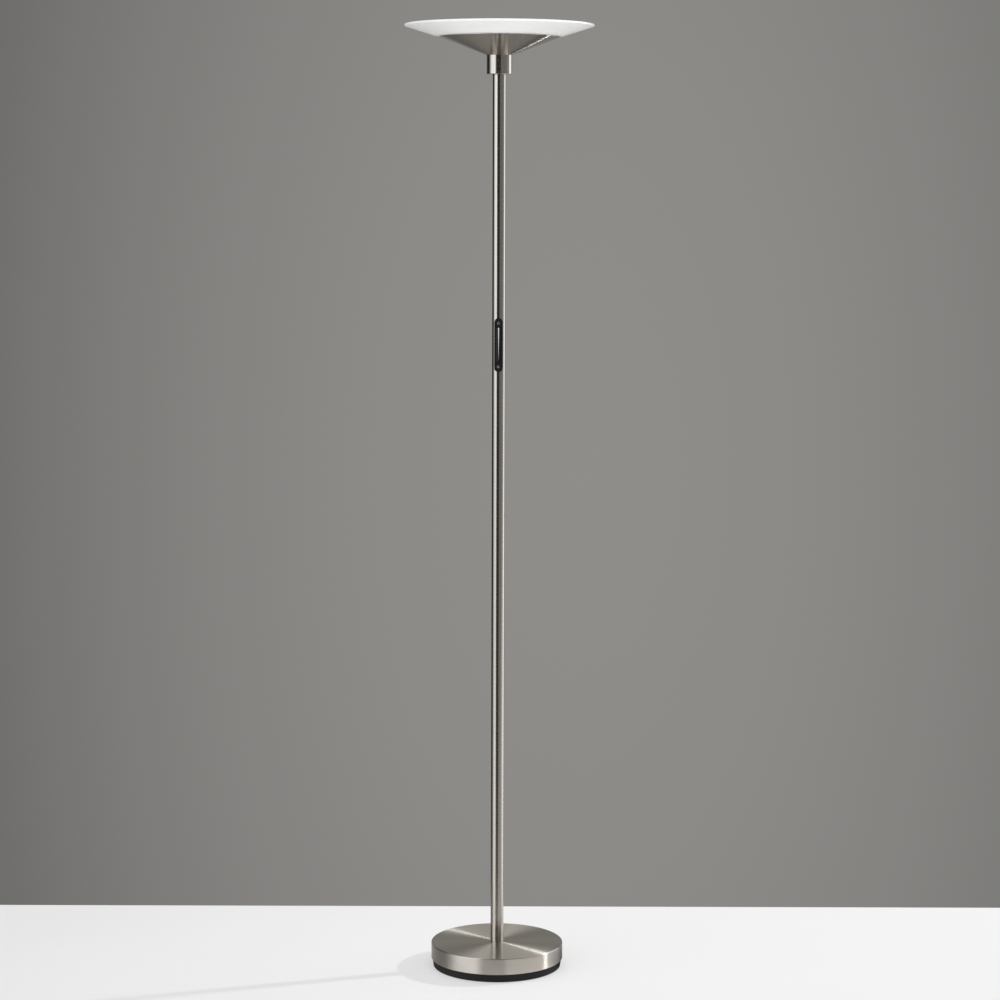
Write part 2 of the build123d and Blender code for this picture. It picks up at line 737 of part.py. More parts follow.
# Glass dish: a flat seat, a lip that hangs over the cone's rim and a sloped brim with a round edge
with BuildPart() as glass_shade:
    with BuildSketch(Plane.XZ):
        with BuildLine():
            ThreePointArc(
                lower_edge,
                (rim_radius + half_glass * cos(glass_angle), rim_height + half_glass * sin(glass_angle)),
                upper_edge,
            )
            Polyline(
                upper_edge,
                (glass_bend_radius, glass_flange_top),
                (glass_hole_radius, glass_flange_top),
                (glass_hole_radius, glass_seat),
                (lip_inner_radius, glass_seat),
                (lip_inner_radius, lip_tip),
                (lip_radius, lip_tip),
                lower_edge,
            )
        make_face()
    revolve(axis=Axis.Z)
glass_shade.part.label = "glass_shade"
export_step(glass_shade.part, "parts/glass_shade.step")

# Light plate: an aluminium disc on the cone's flange that carries the light source and spreads its heat
with BuildPart() as led_plate:
    with BuildSketch(Plane.XY.offset(cone_rim)):
        Circle(led_plate_radius)
        Circle(led_stem_radius + hole_gap, mode=Mode.SUBTRACT)
        with PolarLocations(diffuser_screw_circle, diffuser_screw_count):
            Circle(diffuser_screw_radius + hole_gap, mode=Mode.SUBTRACT)
    extrude(amount=led_plate_thickness)
    with Locations((-driver_screw_reach, 0, led_plate_top), (driver_screw_reach, 0, led_plate_top)):
        CounterSinkHole(driver_screw_radius + hole_gap, driver_screw_head_radius + hole_gap)
led_plate.part.label = "led_plate"
export_step(led_plate.part, "parts/led_plate.step")

# Light board: a thin disc on the plate
with BuildPart() as led_board:
    with BuildSketch(Plane.XY.offset(led_plate_top)):
        Circle(led_board_radius)
        Circle(led_stem_radius + hole_gap, mode=Mode.SUBTRACT)
    extrude(amount=led_board_thickness)
led_board.part.label = "led_board"
export_step(led_board.part, "parts/led_board.step")

# Light emitters: two rings of small square packages
with BuildPart() as led_emitters:
    with BuildSketch(Plane.XY.offset(led_board_top)):
        with PolarLocations(led_inner_ring_radius, led_inner_ring_count):
            Rectangle(led_size, led_size)
        with PolarLocations(led_outer_ring_radius, led_outer_ring_count):
            Rectangle(led_size, led_size)
    extrude(amount=led_height)
led_emitters.part.label = "led_emitters"
export_step(led_emitters.part, "parts/led_emitters.step")

# Board connector: a stem from the driver, up through the plate to a block on the board
with BuildPart() as led_connector:
    with BuildSketch(Plane.XY.offset(cone_rim)):
        Circle(led_stem_radius)
    extrude(amount=led_board_top - cone_rim)
    with BuildSketch(Plane.XY.offset(led_board_top)):
        Rectangle(led_connector_size, led_connector_size)
    extrude(amount=led_connector_height)
led_connector.part.label = "led_connector"
export_step(led_connector.part, "parts/led_connector.step")

# Diffuser: a shallow domed cover over the light board, with a screw flange
with BuildPart() as led_diffuser:
    with BuildSketch(Plane.XZ):
        with BuildLine():
            RadiusArc(
                (0, diffuser_top),
                (diffuser_radius, diffuser_shoulder),
                (diffuser_radius**2 + diffuser_crown**2) / (2 * diffuser_crown),
            )
            Polyline(
                (diffuser_radius, diffuser_shoulder),
                (diffuser_radius, diffuser_flange_top),
                (diffuser_flange_radius, diffuser_flange_top),
                (diffuser_flange_radius, led_plate_top),
                (diffuser_inner_radius, led_plate_top),
                (diffuser_inner_radius, diffuser_shoulder - diffuser_wall),
            )
            RadiusArc(
                (diffuser_inner_radius, diffuser_shoulder - diffuser_wall),
                (0, diffuser_top - diffuser_wall),
                -(diffuser_inner_radius**2 + diffuser_crown**2) / (2 * diffuser_crown),
            )
            Line((0, diffuser_top - diffuser_wall), (0, diffuser_top))
        make_face()
    revolve(axis=Axis.Z)
    with BuildSketch(Plane.XY.offset(led_plate_top)):
        with PolarLocations(diffuser_screw_circle, diffuser_screw_count):
            Circle(diffuser_screw_radius + hole_gap)
    extrude(amount=diffuser_wall, mode=Mode.SUBTRACT)
led_diffuser.part.label = "led_diffuser"
export_step(led_diffuser.part, "parts/led_diffuser.step")

# Diffuser screws: through the diffuser and the plate into the cone's flange
with BuildPart() as diffuser_screws:
    with BuildSketch(Plane.XY.offset(diffuser_flange_top)):
        with PolarLocations(diffuser_screw_circle, diffuser_screw_count):
            Circle(diffuser_screw_head_radius)
    extrude(amount=diffuser_screw_head)
    with BuildSketch(Plane.XY.offset(diffuser_flange_top)):
        with PolarLocations(diffuser_screw_circle, diffuser_screw_count):
            Circle(diffuser_screw_radius)
    extrude(amount=-(diffuser_wall + led_plate_thickness + cone_sheet + diffuser_screw_tail))
diffuser_screws.part.label = "diffuser_screws"
export_step(diffuser_screws.part, "parts/diffuser_screws.step")

# Driver: the power supply, hung under the light plate
with BuildPart() as driver_case:
    with BuildSketch(Plane.XY.offset(driver_bottom)):
        RectangleRounded(driver_length, driver_width, driver_corner)
    extrude(amount=driver_height)
    with BuildSketch(Plane.XY.offset(cone_rim)):
        with GridLocations(2 * driver_screw_reach, 0, 2, 1):
            Circle(driver_screw_radius + thread_gap)
    extrude(amount=-driver_screw_length, mode=Mode.SUBTRACT)
driver_case.part.label = "driver_case"
export_step(driver_case.part, "parts/driver_case.step")

# Driver screws: countersunk in the light plate
head_depth = driver_screw_head_radius - driver_screw_radius
with BuildPart() as driver_screws:
    with Locations((-driver_screw_reach, 0, led_plate_top), (driver_screw_reach, 0, led_plate_top)):
        top_aligned = (Align.CENTER, Align.CENTER, Align.MAX)
        Cone(driver_screw_radius, driver_screw_head_radius, head_depth, align=top_aligned)
        Cylinder(driver_screw_radius, driver_screw_length, align=top_aligned)
driver_screws.part.label = "driver_screws"
export_step(driver_screws.part, "parts/driver_screws.step")
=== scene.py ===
"""Torchiere floor lamp: smooth skins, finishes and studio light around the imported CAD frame.

The lamp's classes hold millimetres and the studio's hold metres, as Blender does. +Z is up, and the
switch faces -Y.
"""

import logging
import math
from collections.abc import Callable, Mapping, Sequence
from dataclasses import dataclass, field, replace
from enum import Enum

import bpy
import numpy as np
from mathutils import Euler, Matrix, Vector


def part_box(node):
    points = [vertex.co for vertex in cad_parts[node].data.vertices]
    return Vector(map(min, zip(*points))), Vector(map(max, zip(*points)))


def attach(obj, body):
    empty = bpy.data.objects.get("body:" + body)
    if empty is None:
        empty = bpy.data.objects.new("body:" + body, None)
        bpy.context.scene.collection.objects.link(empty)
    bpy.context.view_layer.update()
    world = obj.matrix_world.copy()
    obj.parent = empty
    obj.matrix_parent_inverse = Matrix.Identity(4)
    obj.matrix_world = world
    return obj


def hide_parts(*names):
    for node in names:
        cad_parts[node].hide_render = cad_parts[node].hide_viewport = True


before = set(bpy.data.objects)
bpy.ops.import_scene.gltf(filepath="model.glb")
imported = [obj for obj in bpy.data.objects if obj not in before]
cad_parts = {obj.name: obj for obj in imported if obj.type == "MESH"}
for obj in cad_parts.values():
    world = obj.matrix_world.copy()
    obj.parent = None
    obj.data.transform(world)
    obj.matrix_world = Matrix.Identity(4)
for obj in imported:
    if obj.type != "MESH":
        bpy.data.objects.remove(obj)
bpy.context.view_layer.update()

log = logging.getLogger("torchiere")

MM = 0.001
FRAME_PLACES = 2
FULL_TURN = 360.0
SAME_POINT = 1e-6
TINY = 1e-9
SHARP_ANGLE = 40.0
LAMP = "lamp"

Colour = tuple[float, float, float]
Place = tuple[float, float, float]
Corner = tuple[float, float, float]
Stops = tuple[tuple[float, float], ...]

BLACK: Colour = (0.0, 0.0, 0.0)


# Sizes from the frame


def reach_of(node: str) -> float:
    """How far a CAD node reaches along +X, in millimetres."""
    return round(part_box(node)[1].x / MM, FRAME_PLACES)


def front_of(node: str) -> float:
    """Where a CAD node's foremost point is along Y, in millimetres."""
    return round(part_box(node)[0].y / MM, FRAME_PLACES)


def foot_of(node: str) -> float:
    """Height of a CAD node's lowest point, in millimetres."""
    return round(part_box(node)[0].z / MM, FRAME_PLACES)


def top_of(node: str) -> float:
    """Height of a CAD node's highest point, in millimetres."""
    return round(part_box(node)[1].z / MM, FRAME_PLACES)


# Sizes that several pieces share
SHEET = 1.2
NIPPLE_HOLE = 5.3
HOLE_EDGE = 0.1
SWITCH_HEIGHT = (foot_of("switch_carrier") + top_of("switch_carrier")) / 2
PLATE_FRONT = front_of("switch_housing")


# Shader maths


def operators(operation: str) -> tuple["Operator", "Operator"]:
    """Make one of Python's operators for sockets, and its reflected form.

    Args:
        operation: the operation of the Math node that they add.

    Returns:
        The operator with the socket before the other value, and the one with it after.
    """

    def plain(socket: "Socket", other: "Value") -> "Socket":
        """The socket, then the other value."""
        return socket.graph.maths(operation, socket, other)

    def reflected(socket: "Socket", other: "Value") -> "Socket":
        """The other value, then the socket."""
        return socket.graph.maths(operation, other, socket)

    return plain, reflected


class Socket:
    """An output of a shader node, on which Python's operators add Math nodes."""

    __add__, __radd__ = operators("ADD")
    __sub__, __rsub__ = operators("SUBTRACT")
    __mul__, __rmul__ = operators("MULTIPLY")
    __truediv__, __rtruediv__ = operators("DIVIDE")
    __pow__, __rpow__ = operators("POWER")

    def __init__(self, graph: "Graph", link: bpy.types.NodeSocket) -> None:
        """Keep the graph that owns the socket, and the socket itself."""
        self.graph = graph
        self.link = link

    def maths(self, operation: str, *values: "Value") -> "Socket":
        """Add one Math node whose first input is this socket.

        Args:
            operation: the Math node's operation.
            values: the other inputs, numbers or sockets.

        Returns:
            The node's result.
        """
        return self.graph.maths(operation, self, *values)

    def clipped(self) -> "Socket":
        """This value, held between 0 and 1."""
        return self.maths("MAXIMUM", 0.0).maths("MINIMUM", 1.0)


Value = Socket | float
Operator = Callable[[Socket, Value], Socket]


class Graph:
    """A node tree that is filled by calls, each of which gives back a socket."""

    def __init__(self, tree: bpy.types.NodeTree) -> None:
        """Empty the tree and keep it."""
        self.tree = tree
        tree.nodes.clear()

    @staticmethod
    def _pick(sockets: bpy.types.bpy_prop_collection, key: str | int) -> bpy.types.NodeSocket:
        """Find a socket by its number, identifier or name.

        Args:
            sockets: a node's inputs or outputs.
            key: number, identifier or name.

        Returns:
            The socket.
        """
        if isinstance(key, int):
            return sockets[key]
        for socket in sockets:
            if socket.identifier == key:
                return socket
        return sockets[key]

    @staticmethod
    def _stops(elements: bpy.types.ColorRampElements, stops: Sequence[tuple[float, Colour]]) -> None:
        """Give a colour ramp its stops.

        Args:
            elements: the ramp's elements.
            stops: position and colour of each stop, in order.
        """
        while len(elements) < len(stops):
            elements.new(1.0)
        for element, (place, colour) in zip(elements, stops):
            element.position = place
            element.color = (*colour, 1.0)

    def add(
        self,
        kind: str,
        settings: Mapping[str, object] | None = None,
        inputs: Mapping[str | int, object] | None = None,
        output: str | int = 0,
    ) -> Socket | None:
        """Add a node, set it up and link it.

        Args:
            kind: the node's type.
            settings: its properties, set first; "stops" fills a colour ramp.
            inputs: sockets to link, or plain values, by input.
            output: which output to give back.

        Returns:
            The chosen output, or None for a node without outputs.
        """
        node = self.tree.nodes.new(kind)
        for key, value in (settings or {}).items():
            if key == "stops":
                self._stops(node.color_ramp.elements, value)
            else:
                setattr(node, key, value)
        for key, value in (inputs or {}).items():
            target = self._pick(node.inputs, key)
            if isinstance(value, Socket):
                self.tree.links.new(value.link, target)
            else:
                target.default_value = value
        return Socket(self, self._pick(node.outputs, output)) if len(node.outputs) else None

    def maths(self, operation: str, *values: Value) -> Socket:
        """Add a Math node.

        Args:
            operation: its operation.
            values: its inputs in order.

        Returns:
            Its result.
        """
        return self.add("ShaderNodeMath", {"operation": operation}, dict(enumerate(values)))

    def vector(self, operation: str, *values: Socket) -> Socket:
        """Add a Vector Math node that gives a vector.

        Args:
            operation: its operation.
            values: its inputs in order.

        Returns:
            Its result.
        """
        return self.add("ShaderNodeVectorMath", {"operation": operation}, dict(enumerate(values)))

    def split(self, vector: Socket) -> tuple[Socket, Socket, Socket]:
        """Take a vector apart.

        Args:
            vector: the vector.

        Returns:
            Its x, y and z.
        """
        first = self.add("ShaderNodeSeparateXYZ", None, {0: vector})
        return tuple(Socket(self, output) for output in first.link.node.outputs)

    def blend(self, factor: Value, first: object, second: object, kind: str = "MIX") -> Socket:
        """Mix two colours.

        Args:
            factor: 0 for the first colour, 1 for the second.
            first: colour or socket.
            second: colour or socket.
            kind: the Mix node's blend type.

        Returns:
            The mixed colour.
        """
        colours = {
            key: value if isinstance(value, Socket) else (*value, 1.0)
            for key, value in (("A_Color", first), ("B_Color", second))
        }
        return self.add(
            "ShaderNodeMix",
            {"data_type": "RGBA", "blend_type": kind},
            {"Factor_Float": factor, **colours},
            "Result_Color",
        )

    def noise(self, place: Socket, scale: float, detail: float, rough: float = 0.5) -> Socket:
        """Add a noise texture.

        Args:
            place: where to read it.
            scale: its scale, in cells per unit of place.
            detail: its octaves.
            rough: how strong each finer octave is.

        Returns:
            Its value, about 0.5 on average.
        """
        return self.add(
            "ShaderNodeTexNoise",
            {"noise_dimensions": "3D"},
            {"Vector": place, "Scale": scale, "Detail": detail, "Roughness": rough},
            "Fac",
        )

    def ray(self, test: str) -> Socket:
        """Add one of the Light Path node's tests."""
        return self.add("ShaderNodeLightPath", output=test)


# Finishes


class Pattern(Enum):
    """What the surface of a finish looks like close to."""

    TURNED = "brush lines that run round the axis"
    GRAIN = "the fine grain of a moulding"
    CAST = "the coarse skin of a casting"
    MOTTLE = "the cloudy patches of plating and glass"
    TRACKS = "a printed board with copper tracks"


@dataclass(frozen=True)
class PrintedWedge:
    """A wedge printed on the front of a moulding, widest at its upper end. Sizes are millimetres."""

    upper: float
    lower: float
    wide: float
    narrow: float
    front: float
    ink: Colour

    SOFT_EDGE = 0.06

    def cover(self, graph: Graph, place: Socket) -> Socket:
        """Find how far the print covers a point.

        The wedge's half width falls evenly from its upper end to its lower end. A point is covered where
        it is nearer to the middle line than that, between the ends and in front of the front plane.

        Args:
            graph: the material's graph.
            place: object coordinates.

        Returns:
            1 under the print and 0 beside it, with a thin soft edge.
        """
        x, y, z = graph.split(place)
        down = (self.upper * MM - z) / ((self.upper - self.lower) * MM)
        half = down * (self.narrow - self.wide) * MM / 2 + self.wide * MM / 2
        inside = (half - x.maths("ABSOLUTE")) / (self.SOFT_EDGE * MM) + 0.5
        between = down.maths("GREATER_THAN", 0.0) * down.maths("LESS_THAN", 1.0)
        return inside.clipped() * between * y.maths("LESS_THAN", self.front * MM)


@dataclass(frozen=True)
class Finish:
    """A surface finish: two colours and a range of roughness, mixed by a pattern.

    pattern_scale is in cells per metre, and relief is the depth of the bump in millimetres. constants are
    the shader's other inputs. brush_slope is how far brush lines tilt the normal, mark is a print on the
    finish, and grade tells apart the finishes of one slot.
    """

    slot: str
    pattern: Pattern
    deep: Colour
    pale: Colour
    smooth: float
    rough: float
    pattern_scale: float
    relief: float
    constants: tuple[tuple[str, object], ...] = ()
    brush_slope: float = 0.0
    mark: PrintedWedge | None = None
    grade: str = "finish"

    RELIEF_STRENGTH = 0.35
    LINE_LENGTH = 2.2
    LINE_DETAIL = 2.0
    LINE_ROUGHNESS = 0.6
    LINE_SHARE = 0.45
    BAND_SCALE = 0.13
    BAND_SHARE = 0.3
    SMEAR_SCALE = 11.0
    SMEAR_DETAIL = 3.0
    SMEAR_SHARE = 0.25
    CELL_DETAIL = {Pattern.CAST: 4.0, Pattern.GRAIN: 2.0, Pattern.MOTTLE: 2.0}
    CELL_SHARE = {Pattern.CAST: 0.6, Pattern.GRAIN: 0.6, Pattern.MOTTLE: 0.25}
    TRACK_BEND = 3.0
    TRACK_BEND_SCALE = 0.6
    TRACK_CREST = 0.7
    TRACK_STEEPNESS = 6.0

    def _turned(self, graph: Graph, place: Socket) -> tuple[Socket, Socket]:
        """Brush lines round the z axis, as noise that is stretched along the turn.

        The noise is read at (x / r, y / r) times the line length and at (r + z) times the scale, where
        r is the distance from the axis, so it changes slowly round the axis and fast across it.

        Args:
            graph: the material's graph.
            place: object coordinates.

        Returns:
            Fine lines for the bump, and lines with broad bands and smears for colour and roughness.
        """
        x, y, z = graph.split(place)
        reach = (x * x + y * y + TINY) ** 0.5
        across = (reach + z) * self.pattern_scale
        around = {0: x / reach * self.LINE_LENGTH, 1: y / reach * self.LINE_LENGTH}
        close = graph.add("ShaderNodeCombineXYZ", None, {**around, 2: across})
        wide = graph.add("ShaderNodeCombineXYZ", None, {**around, 2: across * self.BAND_SCALE})
        lines = graph.noise(close, 1.0, self.LINE_DETAIL, self.LINE_ROUGHNESS)
        bands = graph.noise(wide, 1.0, self.LINE_DETAIL)
        smears = graph.noise(place, self.SMEAR_SCALE, self.SMEAR_DETAIL)
        return lines, lines * self.LINE_SHARE + bands * self.BAND_SHARE + smears * self.SMEAR_SHARE

    def _brushed(self, graph: Graph, place: Socket, lines: Socket, normal: Socket) -> Socket:
        """Tilt the normal across the brush lines, because each line is a groove with sides.

        The way across a line is square to the normal and to the turn about z. The tilt is the brush
        slope times how far the lines are from their mean, so light spreads across them alone.

        Args:
            graph: the material's graph.
            place: object coordinates.
            lines: the fine lines, about 0.5 on average.
            normal: the surface's normal with its bump.

        Returns:
            The tilted normal.
        """
        x, y, _ = graph.split(place)
        turn = graph.add("ShaderNodeCombineXYZ", None, {0: 0.0 - y, 1: x})
        across = graph.vector("NORMALIZE", graph.vector("CROSS_PRODUCT", normal, turn))
        tilt = (lines - 0.5) * self.brush_slope
        lean = graph.add("ShaderNodeVectorMath", {"operation": "SCALE"}, {0: across, "Scale": tilt})
        return graph.vector("NORMALIZE", graph.vector("ADD", normal, lean))

    def _tracks(self, graph: Graph, place: Socket) -> tuple[Socket, Socket]:
        """Copper tracks, where a wave along x that noise bends is near its crest.

        Args:
            graph: the material's graph.
            place: object coordinates.

        Returns:
            The tracks, for the bump and for the colour.
        """
        wave = graph.add(
            "ShaderNodeTexWave",
            {"bands_direction": "X"},
            {
                "Vector": place,
                "Scale": self.pattern_scale,
                "Distortion": self.TRACK_BEND,
                "Detail Scale": self.TRACK_BEND_SCALE,
            },
            "Fac",
        )
        track = ((wave - self.TRACK_CREST) * self.TRACK_STEEPNESS).clipped()
        return track, track

    def _cells(self, graph: Graph, place: Socket) -> tuple[Socket, Socket]:
        """Grain, cast skin or mottle: noise of the finish's scale with broad patches under it.

        Args:
            graph: the material's graph.
            place: object coordinates.

        Returns:
            The fine part for the bump, and both parts for colour and roughness.
        """
        fine = graph.noise(place, self.pattern_scale, self.CELL_DETAIL[self.pattern])
        patches = graph.noise(place, self.SMEAR_SCALE, self.SMEAR_DETAIL)
        share = self.CELL_SHARE[self.pattern]
        return fine, fine * share + patches * (1.0 - share)

    def material(self) -> bpy.types.Material:
        """Make the finish's material, or give back the one that is made already.

        Returns:
            A material with a Principled shader.
        """
        name = f"{self.slot}_{self.grade}"
        if name in bpy.data.materials:
            return bpy.data.materials[name]
        made = bpy.data.materials.new(name)
        made.use_nodes = True
        graph = Graph(made.node_tree)
        place = graph.add("ShaderNodeTexCoord", output="Object")
        if self.pattern is Pattern.TURNED:
            fine, mask = self._turned(graph, place)
        elif self.pattern is Pattern.TRACKS:
            fine, mask = self._tracks(graph, place)
        else:
            fine, mask = self._cells(graph, place)
        normal = graph.add(
            "ShaderNodeBump",
            None,
            {"Strength": self.RELIEF_STRENGTH, "Distance": self.relief * MM, "Height": fine},
        )
        if self.brush_slope:
            normal = self._brushed(graph, place, fine, normal)
        colour = graph.blend(mask, self.deep, self.pale)
        if self.mark:
            colour = graph.blend(self.mark.cover(graph, place), colour, self.mark.ink)
        shader = graph.add(
            "ShaderNodeBsdfPrincipled",
            None,
            {
                "Base Color": colour,
                "Roughness": mask * (self.rough - self.smooth) + self.smooth,
                "Normal": normal,
                **dict(self.constants),
            },
        )
        graph.add("ShaderNodeOutputMaterial", None, {"Surface": shader})
        made.diffuse_color = (*self.pale, 1.0)
        return made


METAL = (("Metallic", 1.0),)
BRUSHED_METAL = (*METAL, ("Anisotropic", 1.0), ("Anisotropic Rotation", 0.25))
CLOUDY_ACRYLIC = (
    ("Subsurface Weight", 0.3),
    ("Subsurface Radius", (0.006, 0.006, 0.006)),
    ("Subsurface Scale", 1.0),
)
CLOUDY_GLASS = (
    ("IOR", 1.5),
    ("Subsurface Weight", 0.9),
    ("Subsurface Radius", (0.03, 0.03, 0.03)),
    ("Subsurface Scale", 1.0),
)
CLEAR_RUBBER = (("Transmission Weight", 0.4), ("IOR", 1.41))

DIMMING_WEDGE = PrintedWedge(
    upper=SWITCH_HEIGHT + 32.72,
    lower=SWITCH_HEIGHT - 28.48,
    wide=1.9,
    narrow=0.05,
    front=PLATE_FRONT + 0.7,
    ink=(0.88, 0.88, 0.89),
)

FINISHES: dict[str, Finish] = {
    finish.slot: finish
    for finish in (
        Finish(
            "brushed_steel", Pattern.TURNED, deep=(0.56, 0.52, 0.465), pale=(0.7, 0.65, 0.585),
            smooth=0.27, rough=0.3, pattern_scale=5000.0, relief=0.0005, constants=BRUSHED_METAL,
            brush_slope=0.9,
        ),
        Finish(
            "plated_steel", Pattern.MOTTLE, deep=(0.52, 0.52, 0.5), pale=(0.74, 0.74, 0.71),
            smooth=0.2, rough=0.42, pattern_scale=700.0, relief=0.01, constants=METAL,
        ),
        Finish(
            "cast_iron", Pattern.CAST, deep=(0.022, 0.021, 0.02), pale=(0.06, 0.057, 0.054),
            smooth=0.6, rough=0.85, pattern_scale=420.0, relief=0.5,
        ),
        Finish(
            "black_plastic", Pattern.GRAIN, deep=(0.0125, 0.012, 0.0118), pale=(0.0205, 0.0198, 0.0194),
            smooth=0.4, rough=0.54, pattern_scale=2600.0, relief=0.03,
            constants=(("Specular IOR Level", 0.15),),
        ),
        Finish(
            "rocker_plastic", Pattern.GRAIN, deep=(0.011, 0.011, 0.0115), pale=(0.019, 0.019, 0.0195),
            smooth=0.42, rough=0.52, pattern_scale=2600.0, relief=0.012,
            constants=(("Specular IOR Level", 0.2),), mark=DIMMING_WEDGE,
        ),
        Finish(
            "black_rubber", Pattern.GRAIN, deep=(0.012, 0.012, 0.012), pale=(0.03, 0.029, 0.028),
            smooth=0.62, rough=0.85, pattern_scale=1500.0, relief=0.06,
        ),
        Finish(
            "black_screw", Pattern.MOTTLE, deep=(0.3, 0.3, 0.298), pale=(0.5, 0.498, 0.492),
            smooth=0.5, rough=0.62, pattern_scale=900.0, relief=0.01, constants=METAL,
        ),
        Finish(
            "white_plastic", Pattern.GRAIN, deep=(0.7, 0.69, 0.66), pale=(0.8, 0.79, 0.765),
            smooth=0.35, rough=0.5, pattern_scale=1800.0, relief=0.03,
        ),
        Finish(
            "grey_plastic", Pattern.GRAIN, deep=(0.2, 0.2, 0.2), pale=(0.27, 0.27, 0.265),
            smooth=0.4, rough=0.56, pattern_scale=1800.0, relief=0.03,
        ),
        Finish(
            "lead_sleeve", Pattern.GRAIN, deep=(0.6, 0.59, 0.56), pale=(0.7, 0.69, 0.66),
            smooth=0.36, rough=0.5, pattern_scale=900.0, relief=0.03,
        ),
        Finish(
            "board_green", Pattern.TRACKS, deep=(0.012, 0.085, 0.03), pale=(0.03, 0.16, 0.06),
            smooth=0.28, rough=0.4, pattern_scale=160.0, relief=0.05,
        ),
        Finish(
            "board_white", Pattern.TRACKS, deep=(0.78, 0.78, 0.76), pale=(0.7, 0.69, 0.66),
            smooth=0.35, rough=0.45, pattern_scale=45.0, relief=0.05,
        ),
        Finish(
            "emitter_yellow", Pattern.GRAIN, deep=(0.72, 0.5, 0.06), pale=(0.8, 0.62, 0.12),
            smooth=0.35, rough=0.5, pattern_scale=1500.0, relief=0.02,
        ),
        Finish(
            "opal_acrylic", Pattern.MOTTLE, deep=(0.8, 0.8, 0.785), pale=(0.86, 0.86, 0.85),
            smooth=0.34, rough=0.44, pattern_scale=260.0, relief=0.01, constants=CLOUDY_ACRYLIC,
        ),
        Finish(
            "opal_glass", Pattern.MOTTLE, deep=(0.85, 0.853, 0.828), pale=(0.89, 0.893, 0.87),
            smooth=0.14, rough=0.2, pattern_scale=180.0, relief=0.01, constants=CLOUDY_GLASS,
        ),
        Finish(
            "clear_silicone", Pattern.MOTTLE, deep=(0.72, 0.73, 0.72), pale=(0.82, 0.83, 0.82),
            smooth=0.3, rough=0.4, pattern_scale=300.0, relief=0.01, constants=CLEAR_RUBBER,
        ),
        Finish(
            "aluminium", Pattern.MOTTLE, deep=(0.72, 0.72, 0.73), pale=(0.86, 0.86, 0.865),
            smooth=0.32, rough=0.46, pattern_scale=500.0, relief=0.01, constants=METAL,
        ),
    )
}

TUBE_STEEL = replace(FINISHES["brushed_steel"], grade="tube", smooth=0.16, rough=0.18, brush_slope=0.12)
CONE_STEEL = replace(FINISHES["brushed_steel"], grade="cone", smooth=0.19, rough=0.21, brush_slope=0.4)


# Surfaces


@dataclass
class Surface:
    """A mesh as arrays: points in millimetres, four-sided and three-sided faces, and known normals."""

    points: np.ndarray
    quads: np.ndarray
    triangles: np.ndarray = field(default_factory=lambda: np.empty((0, 3), int))
    normals: np.ndarray | None = None

    def placed(self, turn: np.ndarray, shift: Sequence[float] = (0.0, 0.0, 0.0)) -> "Surface":
        """Turn and move the surface.

        Args:
            turn: a 3 by 3 rotation.
            shift: where its origin goes.

        Returns:
            The placed surface, without normals.
        """
        return Surface(self.points @ turn.T + np.asarray(shift, float), self.quads, self.triangles)


def joined(parts: Sequence[Surface]) -> Surface:
    """Put surfaces side by side in one mesh.

    Args:
        parts: the surfaces.

    Returns:
        One surface, without normals.
    """
    starts = np.cumsum([0] + [len(part.points) for part in parts])
    quads = np.concatenate([part.quads + start for part, start in zip(parts, starts)])
    triangles = np.concatenate([part.triangles + start for part, start in zip(parts, starts)])
    return Surface(np.concatenate([part.points for part in parts]), quads, triangles)


def three_round(one: Surface, circle: float, height: float, first: float) -> Surface:
    """Set three copies of a surface evenly on a circle about the z axis.

    Args:
        one: the surface, at the origin.
        circle: the circle's radius.
        height: the circle's height.
        first: angle of the first copy from +X, in degrees.

    Returns:
        The copies as one surface.
    """
    angles = np.radians(first + np.linspace(0.0, FULL_TURN, 3, endpoint=False))
    places = np.stack((circle * np.cos(angles), circle * np.sin(angles), np.full(3, height)), axis=-1)
    return joined([one.placed(np.eye(3), place) for place in places])


def rounded(corners: Sequence[Corner], steps: int = 8, closed: bool = True) -> np.ndarray:
    """Round the corners of an outline.

    Each corner becomes an arc that touches both of its sides: with half the angle between the sides
    called h, the arc starts at fillet / tan h from the corner and its centre is fillet / sin h away.

    Args:
        corners: radius, height and fillet of each corner, anticlockwise.
        steps: chords in each arc.
        closed: False where the outline starts and ends on the axis.

    Returns:
        Points of the outline as radius and height.
    """
    table = np.asarray(corners, float)
    place, fillet = table[:, :2], table[:, 2:]
    back = np.roll(place, 1, axis=0) - place
    ahead = np.roll(place, -1, axis=0) - place
    back /= np.linalg.norm(back, axis=1, keepdims=True)
    ahead /= np.linalg.norm(ahead, axis=1, keepdims=True)
    half = np.arccos(np.clip(np.sum(back * ahead, axis=1, keepdims=True), -1.0, 1.0)) / 2
    middle = back + ahead
    middle /= np.maximum(np.linalg.norm(middle, axis=1, keepdims=True), TINY)
    centre = place + middle * fillet / np.sin(half)
    first = place + back * fillet / np.tan(half) - centre
    last = place + ahead * fillet / np.tan(half) - centre
    start = np.arctan2(first[:, 1], first[:, 0])
    cross = first[:, 0] * last[:, 1] - first[:, 1] * last[:, 0]
    sweep = np.arctan2(cross, np.sum(first * last, axis=1))
    angle = start[:, None] + sweep[:, None] * np.linspace(0.0, 1.0, steps + 1)
    arcs = centre[:, None] + fillet[:, None] * np.stack((np.cos(angle), np.sin(angle)), axis=-1)
    points = arcs.reshape(-1, 2)
    if not closed:
        points = np.concatenate((place[:1], points[steps + 1 : -steps - 1], place[-1:]))
    gaps = np.linalg.norm(points - np.roll(points, 1, axis=0), axis=1)
    return points[gaps > SAME_POINT]


